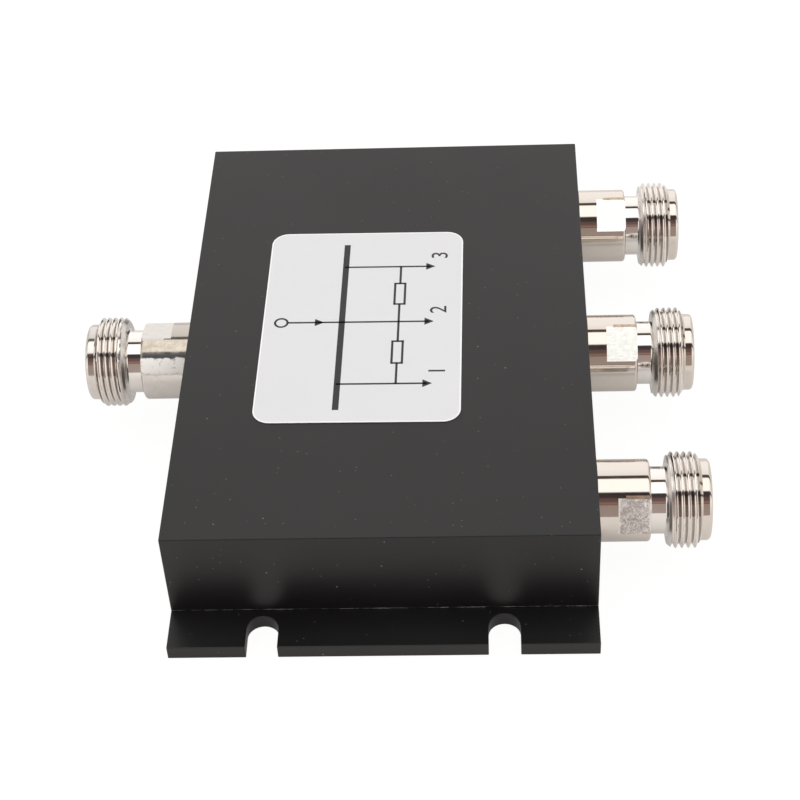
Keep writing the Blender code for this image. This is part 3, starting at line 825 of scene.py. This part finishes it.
def build_base_screws(steel):
    tip = SCREW_RECESS + SCREW_LENGTH
    point = SCREW_RADIUS / 3
    rim = 0.0001
    profile = [(SCREW_RECESS, 0), (SCREW_RECESS, SCREW_HEAD_RADIUS - rim),
               (SCREW_RECESS + rim, SCREW_HEAD_RADIUS),
               (SCREW_RECESS + SCREW_HEAD_RADIUS - SCREW_RADIUS, SCREW_RADIUS),
               (tip - point, SCREW_RADIUS), (tip, SCREW_RADIUS - point), (tip, 0)]
    screw = turned("base_screw", profile, SCREW_STEPS, True, False)
    carve(screw, cross_recess(SCREW_RECESS, 0.0015, 0.0013, 0.0007, 1))
    smooth(screw)
    for number, (x, y) in enumerate(screw_places(), 1):
        copy = twin(screw, f"countersunk_screw_{number:02d}")
        turn = Matrix.Rotation(math.radians(37 * number), 4, "Z")
        move_to(copy, Matrix.Translation((x, y, 0)) @ turn)
        screw_finish(copy, steel, f"base_screw_{number:02d}")
    bpy.data.objects.remove(screw, do_unlink=True)


def build_board_screws(steel):
    under_head = BOARD_BOTTOM - SEAT_GAP
    crown = under_head - BOARD_SCREW_HEAD_HEIGHT
    tip = under_head + BOARD_SCREW_LENGTH
    rounding = BOARD_SCREW_HEAD_HEIGHT / 3
    profile = [(crown, 0), (crown, BOARD_SCREW_HEAD_RADIUS - rounding),
               (crown + 0.3 * rounding, BOARD_SCREW_HEAD_RADIUS - 0.3 * rounding),
               (crown + rounding, BOARD_SCREW_HEAD_RADIUS),
               (under_head, BOARD_SCREW_HEAD_RADIUS), (under_head, BOARD_SCREW_RADIUS),
               (tip, BOARD_SCREW_RADIUS), (tip, 0)]
    screw = turned("board_screw", profile, SCREW_STEPS, True, False)
    carve(screw, cross_recess(crown, 0.0014, 0.0011, 0.0006, 1))
    smooth(screw)
    for number, (x, y) in enumerate(board_screw_places(), 1):
        copy = twin(screw, f"pan_screw_{number}")
        turn = Matrix.Rotation(math.radians(53 * number), 4, "Z")
        move_to(copy, Matrix.Translation((x, y, 0)) @ turn)
        screw_finish(copy, steel, f"board_screw_{number}")
    bpy.data.objects.remove(screw, do_unlink=True)


# Sockets

def port_place(socket):
    """From a frame with its X along the socket's axis to the socket's place on the box."""
    place = Matrix.Translation((socket.side * HALF_WIDTH, socket.row * OUTPUT_PITCH,
                                AXIS_HEIGHT))
    return place @ Matrix.Rotation(0 if socket.side > 0 else math.pi, 4, "Z")


def body_profile():
    """Half section of the turned body with the thread's root, and its stepped bore."""
    barrel = quarter(BARREL_END - BARREL_ROUNDING, BARREL_RADIUS - BARREL_ROUNDING,
                     BARREL_ROUNDING, 90, 0)
    neck = quarter(NECK_END - NECK_FILLET, NECK_RADIUS + NECK_FILLET, NECK_FILLET, -90, 0)
    lip = quarter(FACE - LIP_ROUNDING, LIP_RADIUS - LIP_ROUNDING, LIP_ROUNDING, 90, 0, 6)
    return [
        (-WALL, SPIGOT_RADIUS - SPIGOT_CHAMFER),
        (SPIGOT_CHAMFER - WALL, SPIGOT_RADIUS),
        (0.00005, SPIGOT_RADIUS),
        (0.00005, BARREL_RADIUS - 0.0001),
        (0.00015, BARREL_RADIUS),
        (0.00015 + SUPPORT, BARREL_RADIUS),
        (BARREL_END - BARREL_ROUNDING - SUPPORT, BARREL_RADIUS),
        *barrel,
        (BARREL_END, NECK_RADIUS),
        (NECK_END - NECK_FILLET - SUPPORT, NECK_RADIUS),
        *neck,
        (NECK_END, ROOT_RADIUS - 0.0001),
        (NECK_END + 0.0001, ROOT_RADIUS),
        (HEAD_END - 0.0004, ROOT_RADIUS),
        (HEAD_END, LIP_RADIUS),
        (HEAD_END + SUPPORT, LIP_RADIUS),
        (FACE - LIP_ROUNDING - SUPPORT, LIP_RADIUS),
        *lip,
        (FACE, BORE_RADIUS + BORE_CHAMFER),
        (FACE - BORE_CHAMFER, BORE_RADIUS),
        (BORE_FLOOR, BORE_RADIUS),
        (BORE_FLOOR, INSULATOR_RADIUS + SEAT_GAP),
        (COLLAR_END + SEAT_GAP, INSULATOR_RADIUS + SEAT_GAP),
        (COLLAR_END + SEAT_GAP, COLLAR_RADIUS + SEAT_GAP),
        (-WALL, COLLAR_RADIUS + SEAT_GAP),
    ]


def thread_ridge():
    """One thread section, wound along the head and trimmed to the head's outline."""
    turns = 7
    half = THREAD_PITCH / 2 - ROOT_LAND
    buried = ROOT_RADIUS - 0.0004
    shoulder = CREST_HALF_WIDTH + CREST_ROUNDING
    section = [(-half, buried), (-half, ROOT_RADIUS - 0.00002),
               (-shoulder, CREST_RADIUS - CREST_ROUNDING),
               (-CREST_HALF_WIDTH, CREST_RADIUS), (CREST_HALF_WIDTH, CREST_RADIUS),
               (shoulder, CREST_RADIUS - CREST_ROUNDING),
               (half, ROOT_RADIUS - 0.00002), (half, buried)]
    points = [Vector((THREAD_START + along, 0, radius)) for along, radius in section]
    nothing_selected()
    bpy.ops.mesh.primitive_plane_add(size=0.001, location=(0, 0, 0))
    ridge = name_piece("thread_ridge")
    edit(ridge, "VERT")
    bpy.ops.mesh.select_all(action="SELECT")
    bpy.ops.mesh.merge(type="CENTER")
    bpy.ops.transform.translate(value=points[0])
    for here, there in zip(points, points[1:]):
        bpy.ops.mesh.extrude_vertices_move(TRANSFORM_OT_translate={"value": there - here})
    ends = (points[0], points[-1])
    select_verts(ridge, lambda place: min((place - end).length for end in ends) < 1e-7)
    bpy.ops.mesh.edge_face_add()
    leave_edit()
    wind = ridge.modifiers.new("wind", "SCREW")
    wind.axis = "X"
    wind.angle = 2 * math.pi
    wind.screw_offset = THREAD_PITCH
    wind.iterations = turns
    wind.steps = SOCKET_STEPS
    wind.render_steps = SOCKET_STEPS
    finish_step(ridge, wind)
    edit(ridge, "VERT")
    bpy.ops.mesh.select_all(action="SELECT")
    bpy.ops.mesh.remove_doubles(threshold=1e-7)
    bpy.ops.mesh.select_all(action="SELECT")
    bpy.ops.mesh.fill_holes(sides=0)
    bpy.ops.mesh.select_all(action="SELECT")
    bpy.ops.mesh.normals_make_consistent(inside=False)
    leave_edit()
    outline = [(NECK_END + 0.00002, 0), (NECK_END + 0.00002, CREST_RADIUS - HEAD_BEVEL),
               (NECK_END + HEAD_BEVEL_LENGTH, CREST_RADIUS + 0.0001),
               (HEAD_END - HEAD_SLOPE, CREST_RADIUS + 0.0001),
               (HEAD_END - 0.00002, LIP_RADIUS), (HEAD_END - 0.00002, 0)]
    return carve(ridge, turned("head_outline", outline, SOCKET_STEPS, closed=False),
                 "INTERSECT")


def merge_slivers(body):
    """Takes out the needle-thin faces where the thread runs into the body."""
    edit(body, "VERT")
    bpy.ops.mesh.select_all(action="SELECT")
    bpy.ops.mesh.remove_doubles(threshold=SLIVER)
    bpy.ops.mesh.select_all(action="SELECT")
    bpy.ops.mesh.dissolve_degenerate(threshold=SLIVER)
    bpy.ops.mesh.select_all(action="SELECT")
    bpy.ops.mesh.fill_holes(sides=0)
    leave_edit()


def milled_planes(turn):
    """The wrench flats and the narrow facets above them: start, level and turn of each."""
    return ((FLATS_START, FLATS_HALF, turn),
            (FLATS_FACET_START, FLATS_FACET_LEVEL, turn - FLATS_FACET_TURN))


def mill_flats(body, turn):
    reach = 2 * BARREL_RADIUS
    end = (BARREL_END + NECK_END) / 2
    for start, level, angle in milled_planes(turn):
        for side in (-1, 1):
            near, far = side * level, side * reach
            cutter = block("flat", (start, min(near, far), -reach),
                           (end, max(near, far), reach))
            carve(body, move_to(cutter, Matrix.Rotation(angle, 4, "X")))


def lies_in(face, centre, level, turn):
    """True for a face in one of the two planes at a level, on either side of the axis."""
    normal = Vector((0, math.cos(turn), math.sin(turn)))
    return abs(face.normal.dot(normal)) > 0.9999 and abs(abs(centre.dot(normal)) - level) < 1e-5


def crisp_flats(body, turn):
    """Keeps the shading of the milled planes apart from the barrel's."""
    edit(body, "EDGE")
    shape = bmesh.from_edit_mesh(body.data)
    for _, level, angle in milled_planes(turn):
        for edge in shape.edges:
            inside = [lies_in(face, face.calc_center_median(), level, angle)
                      for face in edge.link_faces]
            if any(inside) and not all(inside):
                edge.select_set(True)
    bmesh.update_edit_mesh(body.data)
    bpy.ops.mesh.mark_sharp()
    leave_edit()


def mark_finishes(body, turn):
    """Flats, neck, facets and thread get the second to the fifth finish, the rest the first."""
    for face in body.data.polygons:
        from_axis = math.hypot(face.center.y, face.center.z)
        if from_axis < BORE_RADIUS + BORE_CHAMFER or face.center.x > HEAD_END + SUPPORT / 2:
            face.material_index = 0
        elif face.center.x > NECK_END - 0.00001:
            face.material_index = 4
        elif face.center.x > BARREL_END - 0.00001:
            face.material_index = 2
        elif lies_in(face, face.center, FLATS_HALF, turn):
            face.material_index = 1
        elif lies_in(face, face.center, FLATS_FACET_LEVEL, turn - FLATS_FACET_TURN):
            face.material_index = 3


def build_socket_bodies(finishes):
    spindle = turned("spindle", body_profile(), SOCKET_STEPS)
    ridge = thread_ridge()
    for socket in SOCKETS:
        body = twin(spindle, f"{socket.name}_threaded_body")
        mill_flats(body, socket.flats_turn)
        thread = twin(ridge, "thread")
        thread_turn = 2 * math.pi * socket.thread_steps / SOCKET_STEPS
        move_to(thread, Matrix.Rotation(thread_turn, 4, "X"))
        carve(body, thread, "UNION")
        merge_slivers(body)
        body.data.materials.clear()
        for finish in finishes[socket.name]:
            body.data.materials.append(finish)
        mark_finishes(body, socket.flats_turn)
        smooth(body)
        crisp_flats(body, socket.flats_turn)
        move_to(body, port_place(socket))
        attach(body, "root")
        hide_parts(f"{socket.name}_socket_body")
    bpy.data.objects.remove(spindle, do_unlink=True)
    bpy.data.objects.remove(ridge, do_unlink=True)


def build_insulators(white):
    contact = CONTACT_RADIUS + SEAT_GAP
    pin = PIN_RADIUS + SEAT_GAP
    step = CONTACT_SHOULDER - SEAT_GAP
    edge = 0.0001
    profile = [(-WALL, pin), (step, pin), (step, contact), (BORE_FLOOR - edge, contact),
               (BORE_FLOOR, contact + edge), (BORE_FLOOR, INSULATOR_RADIUS - edge),
               (BORE_FLOOR - edge, INSULATOR_RADIUS), (COLLAR_END, INSULATOR_RADIUS),
               (COLLAR_END, COLLAR_RADIUS), (-WALL, COLLAR_RADIUS)]
    sleeve = turned("sleeve", profile, CONTACT_STEPS)
    smooth(sleeve)
    for socket in SOCKETS:
        copy = twin(sleeve, f"{socket.name}_stepped_insulator")
        move_to(copy, port_place(socket))
        copy.data.materials.clear()
        copy.data.materials.append(white)
        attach(copy, "root")
        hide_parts(f"{socket.name}_insulator")
    bpy.data.objects.remove(sleeve, do_unlink=True)


def build_contacts(gold):
    hole_end = CONTACT_TIP - CONTACT_HOLE_DEPTH
    chamfer = 0.0002
    profile = [(hole_end - CONTACT_HOLE_RADIUS / 2, 0), (hole_end, CONTACT_HOLE_RADIUS),
               (CONTACT_TIP - chamfer, CONTACT_HOLE_RADIUS),
               (CONTACT_TIP, CONTACT_HOLE_RADIUS + chamfer),
               (CONTACT_TIP, CONTACT_RADIUS - chamfer),
               (CONTACT_TIP - chamfer, CONTACT_RADIUS), (CONTACT_SHOULDER, CONTACT_RADIUS),
               (CONTACT_SHOULDER, PIN_RADIUS), (PIN_END + chamfer, PIN_RADIUS),
               (PIN_END, PIN_RADIUS - chamfer), (PIN_END, 0)]
    contact = turned("contact", profile, CONTACT_STEPS, closed=False)
    for number in (0, 1):
        blade = block("blade", (CONTACT_TIP - CONTACT_SLOT_DEPTH, -CONTACT_SLOT / 2,
                                -2 * CONTACT_RADIUS),
                      (CONTACT_TIP + 0.0005, CONTACT_SLOT / 2, 2 * CONTACT_RADIUS))
        turn = math.pi / 4 + number * math.pi / 2
        carve(contact, move_to(blade, Matrix.Rotation(turn, 4, "X")))
    smooth(contact)
    for socket in SOCKETS:
        copy = twin(contact, f"{socket.name}_slotted_contact")
        move_to(copy, port_place(socket))
        copy.data.materials.clear()
        copy.data.materials.append(gold)
        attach(copy, "root")
        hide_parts(f"{socket.name}_contact")
    bpy.data.objects.remove(contact, do_unlink=True)


# Label and its plain circuit drawing

def build_label(film, rim):
    label = block("label_sheet", (-LABEL_HALF_WIDTH, -LABEL_HALF_LENGTH, LABEL_BOTTOM),
                  (LABEL_HALF_WIDTH, LABEL_HALF_LENGTH, LABEL_TOP))
    edit(label, "EDGE")
    select_edges(label, lambda a, b: abs(a.z - b.z) > LABEL_EDGE)
    bpy.ops.mesh.bevel(offset=LABEL_CORNER, segments=12, affect="EDGES")
    leave_edit()
    round_edges(label, LABEL_EDGE, 2)
    edit(label, "FACE")
    shape = bmesh.from_edit_mesh(label.data)
    printed = max(shape.faces, key=lambda face: face.calc_area() * face.normal.z)
    printed.select_set(True)
    bmesh.update_edit_mesh(label.data)
    bpy.ops.mesh.inset(thickness=LABEL_PAINTED_RIM, depth=0)
    leave_edit()
    label.data.materials.clear()
    label.data.materials.append(film)
    label.data.materials.append(rim)
    # The narrow ring round the printed face gets the second finish, a painted highlight along
    # the edge.
    largest = max(face.area for face in label.data.polygons)
    for face in label.data.polygons:
        if face.normal.z > 0.5 and face.area < 0.5 * largest:
            face.material_index = 1
    smooth(label, FLAT_SMOOTH_ANGLE)
    move_to(label, Matrix.Translation(LABEL_PLACE) @ Matrix.Rotation(LABEL_TURN, 4, "Z"))
    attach(label, "root")
    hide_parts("label")


def stroke(start, end, width):
    """A printed line along X or Y."""
    low = [min(a, b) - width / 2 for a, b in zip(start, end)]
    high = [max(a, b) + width / 2 for a, b in zip(start, end)]
    return block("stroke", (*low, INK_TOP - INK_DEPTH), (*high, INK_TOP))


def arrow_head(x, y, size):
    """A printed triangle that points along +X."""
    nothing_selected()
    bpy.ops.mesh.primitive_cylinder_add(vertices=3, radius=size, depth=INK_DEPTH,
                                        location=(x, y, INK_TOP - INK_DEPTH / 2),
                                        rotation=(0, 0, -math.pi / 2))
    return settle(name_piece("arrow_head"))


def dot_ring(x, y, radius, width):
    """A printed ring."""
    ring = upright("ring", x, y, radius, INK_TOP - INK_DEPTH, INK_TOP, 48)
    hole = upright("hole", x, y, radius - width, INK_TOP - 2 * INK_DEPTH,
                   INK_TOP + INK_DEPTH, 48)
    return carve(ring, hole)


def numeral(text, x, y, height):
    """A printed number whose top points to -X, as the label is read from the right."""
    nothing_selected()
    bpy.ops.object.text_add(location=(0, 0, 0))
    item = bpy.context.object
    item.data.body = text
    item.data.size = height
    item.data.extrude = INK_DEPTH / 2
    item.data.align_x = "CENTER"
    item.data.align_y = "CENTER"
    pick(item)
    bpy.ops.object.convert(target="MESH")
    item = name_piece("numeral")
    edit(item, "VERT")
    bpy.ops.mesh.select_all(action="SELECT")
    bpy.ops.mesh.remove_doubles(threshold=1e-7)
    leave_edit()
    place = Matrix.Translation((x, y, INK_TOP - INK_DEPTH / 2))
    return move_to(item, place @ Matrix.Rotation(math.pi / 2, 4, "Z"))


def build_label_print(ink):
    """One line in, a bus bar, three lines out with plain numbers, resistors between."""
    thin, bold = 0.0004, 0.0011
    bus, resistors, ends = -0.0036, 0.0064, 0.0115
    rows = (-0.0157, 0.0002, 0.0152)
    marks = [dot_ring(-0.0143, 0.0002, 0.0013, thin),
             stroke((-0.0130, 0.0002), (bus, 0.0002), thin),
             arrow_head(-0.0078, 0.0002, 0.0011),
             stroke((bus, rows[0] - 0.0058), (bus, rows[2] + 0.0058), bold)]
    for number, row in enumerate(rows, 1):
        marks.append(stroke((bus, row), (ends, row), thin))
        marks.append(arrow_head(ends, row, 0.0011))
        marks.append(numeral(str(number), 0.0135, row + 0.0031, 0.0042))
    for low, high in zip(rows, rows[1:]):
        middle = (low + high) / 2
        marks.append(stroke((resistors, low), (resistors, middle - 0.0028), thin))
        marks.append(stroke((resistors, middle + 0.0028), (resistors, high), thin))
        marks.append(stroke((resistors - 0.0009, middle - 0.0028),
                            (resistors - 0.0009, middle + 0.0028), thin))
        marks.append(stroke((resistors + 0.0009, middle - 0.0028),
                            (resistors + 0.0009, middle + 0.0028), thin))
        for end in (-0.0028, 0.0028):
            marks.append(stroke((resistors - 0.0009, middle + end),
                                (resistors + 0.0009, middle + end), thin))
    drawing = join(marks, "label_drawing")
    move_to(drawing, Matrix.Translation((LABEL_PLACE[0], LABEL_PLACE[1], 0))
            @ Matrix.Rotation(LABEL_TURN, 4, "Z"))
    drawing.data.materials.clear()
    drawing.data.materials.append(ink)
    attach(drawing, "root")


# Nodes of the part that stay as they are

def dress_inside(laminate, copper, ceramic):
    for name, finish in (("circuit_board", laminate), ("copper_track", copper)):
        nodes[name].data.materials.clear()
        nodes[name].data.materials.append(finish)
    for number in range(1, 7):
        chip = nodes[f"isolation_resistor_{number}"]
        chip.data.materials.clear()
        chip.data.materials.append(ceramic)


# Studio

def aim_camera():
    """The photograph's viewpoint, worked out from the box's corners and edges."""
    yaw, pitch, roll = (math.radians(angle) for angle in (-3.6806, 43.5911, -3.4671))
    place = Vector((0.018498, -0.265632, 0.254235))
    forward = Vector((math.sin(yaw) * math.cos(pitch), math.cos(yaw) * math.cos(pitch),
                      -math.sin(pitch)))
    level = Vector((math.cos(yaw), -math.sin(yaw), 0))
    upward = level.cross(forward)
    right = math.cos(roll) * level + math.sin(roll) * upward
    up = -math.sin(roll) * level + math.cos(roll) * upward
    camera = bpy.data.objects.new("camera", bpy.data.cameras.new("camera"))
    bpy.context.scene.collection.objects.link(camera)
    turn = Matrix((right, up, -forward)).transposed().to_4x4()
    camera.matrix_world = Matrix.Translation(place) @ turn
    camera.data.sensor_width = 36
    camera.data.lens = 90.704
    camera.data.clip_start = 0.01
    camera.data.clip_end = 20
    bpy.context.scene.camera = camera


def ramp_of(tree, share, stops, peak):
    """A colour ramp whose stops may be brighter than 1, scaled down by the peak."""
    ramp = tree.nodes.new("ShaderNodeValToRGB")
    tree.links.new(share, ramp.inputs["Fac"])
    while len(ramp.color_ramp.elements) < len(stops):
        ramp.color_ramp.elements.new(0.5)
    for element, (place, colour) in zip(ramp.color_ramp.elements, stops):
        element.position = place
        element.color = (*(part / peak for part in colour), 1.0)
    return ramp.outputs["Color"]


def studio_light():
    """A pale backdrop behind, a softbox overhead and a dim room on the camera's side.

    The share runs from the horizon behind the object, over the top, to the horizon in front.
    The softbox ends at the sides. Metal mirrors the room there, the rest gets plain fill light.
    """
    peak = 1.4
    middle = (
        (0.000, (1.14, 1.11, 1.09)),
        (0.200, (1.14, 1.11, 1.09)),
        (0.330, (1.04, 1.01, 0.98)),
        (0.343, (0.08, 0.06, 0.05)),
        (0.389, (0.08, 0.06, 0.05)),
        (0.401, (1.33, 1.33, 1.30)),
        (0.608, (1.33, 1.33, 1.30)),
        (0.624, (0.040, 0.036, 0.036)),
        (0.700, (0.070, 0.045, 0.045)),
        (0.712, (0.130, 0.090, 0.084)),
        (0.755, (0.155, 0.090, 0.082)),
        (0.790, (0.290, 0.180, 0.162)),
        (0.803, (0.310, 0.190, 0.160)),
        (0.807, (0.070, 0.034, 0.030)),
        (0.811, (0.070, 0.034, 0.030)),
        (0.815, (0.360, 0.285, 0.250)),
        (1.000, (0.380, 0.315, 0.295)),
    )
    sides = (
        (0.000, (0.80, 0.77, 0.74)),
        (0.310, (0.78, 0.75, 0.72)),
        (0.343, (0.15, 0.12, 0.10)),
        (0.389, (0.15, 0.12, 0.10)),
        (0.405, (1.00, 0.96, 0.92)),
        (0.600, (1.00, 0.96, 0.92)),
        (0.624, (0.10, 0.09, 0.09)),
        (0.665, (0.12, 0.10, 0.10)),
        (0.690, (0.90, 0.87, 0.84)),
        (0.800, (1.12, 1.08, 1.04)),
        (1.000, (0.88, 0.84, 0.81)),
    )
    world = bpy.data.worlds.new("studio")
    bpy.context.scene.world = world
    world.use_nodes = True
    tree = world.node_tree
    tree.nodes.clear()
    direction = tree.nodes.new("ShaderNodeTexCoord")
    axes = tree.nodes.new("ShaderNodeSeparateXYZ")
    tree.links.new(direction.outputs["Generated"], axes.inputs["Vector"])
    height = combine(tree, "MAXIMUM", axes.outputs["Z"], 0.0)
    turn = combine(tree, "ARCTAN2", height, axes.outputs["Y"])
    share = combine(tree, "DIVIDE", turn, math.pi)
    sideways = combine(tree, "ABSOLUTE", axes.outputs["X"], 0)
    along = ramp_of(tree, share, middle, peak)
    mirrored = blend_colours(tree, spread(tree, sideways, 0.34, 0.44, 0, 1, "SMOOTHSTEP"),
                             along, ramp_of(tree, share, sides, peak))
    sky = blend_colours(tree, spread(tree, height, 0, 0.6, 0, 1),
                        (0.64 / peak, 0.632 / peak, 0.624 / peak),
                        (1.16 / peak, 1.15 / peak, 1.14 / peak))
    fill = blend_colours(tree, spread(tree, axes.outputs["Y"], -0.15, -0.55, 0, 1, "SMOOTHSTEP"),
                         sky, (1.80 / peak, 1.77 / peak, 1.76 / peak))
    plain = blend_colours(tree, spread(tree, sideways, 0.20, 0.50, 0, 1, "SMOOTHSTEP"),
                          along, fill)
    path = tree.nodes.new("ShaderNodeLightPath")
    light = tree.nodes.new("ShaderNodeBackground")
    light.inputs["Strength"].default_value = peak
    tree.links.new(blend_colours(tree, path.outputs["Is Glossy Ray"], plain, mirrored),
                   light.inputs["Color"])
    white = tree.nodes.new("ShaderNodeBackground")
    white.inputs["Color"].default_value = (1, 1, 1, 1)
    white.inputs["Strength"].default_value = 1.0
    mix = tree.nodes.new("ShaderNodeMixShader")
    tree.links.new(path.outputs["Is Camera Ray"], mix.inputs["Fac"])
    tree.links.new(light.outputs["Background"], mix.inputs[1])
    tree.links.new(white.outputs["Background"], mix.inputs[2])
    output = tree.nodes.new("ShaderNodeOutputWorld")
    tree.links.new(mix.outputs["Shader"], output.inputs["Surface"])


def pale_floor():
    """A plain floor that shows white to the camera and keeps a soft shadow."""
    nothing_selected()
    bpy.ops.mesh.primitive_plane_add(size=8, location=(0, 0, -0.0002))
    floor = settle(name_piece("floor"))
    made = bpy.data.materials.new("floor_pale")
    made.use_nodes = True
    tree = made.node_tree
    tree.nodes.clear()
    matt = tree.nodes.new("ShaderNodeBsdfDiffuse")
    matt.inputs["Color"].default_value = (0.73, 0.695, 0.66, 1)
    glow = tree.nodes.new("ShaderNodeEmission")
    glow.inputs["Color"].default_value = (1, 1, 1, 1)
    glow.inputs["Strength"].default_value = 1.09
    path = tree.nodes.new("ShaderNodeLightPath")
    seen = combine(tree, "MULTIPLY", path.outputs["Is Camera Ray"], 0.87)
    mirrored = combine(tree, "MULTIPLY", path.outputs["Is Glossy Ray"], 0.235)
    mix = tree.nodes.new("ShaderNodeMixShader")
    tree.links.new(combine(tree, "MAXIMUM", seen, mirrored), mix.inputs["Fac"])
    tree.links.new(matt.outputs["BSDF"], mix.inputs[1])
    tree.links.new(glow.outputs["Emission"], mix.inputs[2])
    output = tree.nodes.new("ShaderNodeOutputMaterial")
    tree.links.new(mix.outputs["Shader"], output.inputs["Surface"])
    floor.data.materials.append(made)


def build_scene():
    bpy.context.scene.view_settings.view_transform = "Standard"
    aim_camera()
    studio_light()
    pale_floor()
    steel = screw_steel()
    bright = nickel_plate("bright_nickel", (0.79, 0.73, 0.67), 0.06)
    polished = nickel_plate("polished_nickel", (0.92, 0.885, 0.85), 0.05)
    thread = thread_nickel("thread_nickel")
    # The input's finish holds a ground patch, painted reflection bands and painted shade.
    worn = worn_nickel("worn_nickel")
    milled = milled_nickel("milled_nickel")
    filed = ground_nickel("filed_nickel", (0.96, 0.945, 0.90), 0.22, 0.07)
    facet = ground_nickel("facet_nickel", (0.83, 0.66, 0.52), 0.42, 0.45)
    build_housing(black_anodise("box_anodise", worn_foot=True))
    build_base_plate(black_anodise("plate_anodise"))
    build_base_screws(steel)
    build_board_screws(steel)
    build_socket_bodies({"input": (worn, worn, polished, worn, thread),
                         "output_1": (bright, milled, polished, facet, thread),
                         "output_2": (bright, filed, polished, facet, thread),
                         "output_3": (bright, filed, polished, facet, thread)})
    build_insulators(white_insulator())
    build_contacts(gold_plate())
    film = label_film("label_film_matt", (0.733, 0.738, 0.757), (0.770, 0.775, 0.793))
    # Painted highlight: the label's rim is given a near-white film.
    rim = label_film("label_rim_painted_highlight", (0.96, 0.96, 0.97), (1.0, 1.0, 1.0))
    build_label(film, rim)
    build_label_print(print_ink())
    dress_inside(board_laminate(), track_copper(), resistor_ceramic())


build_scene()
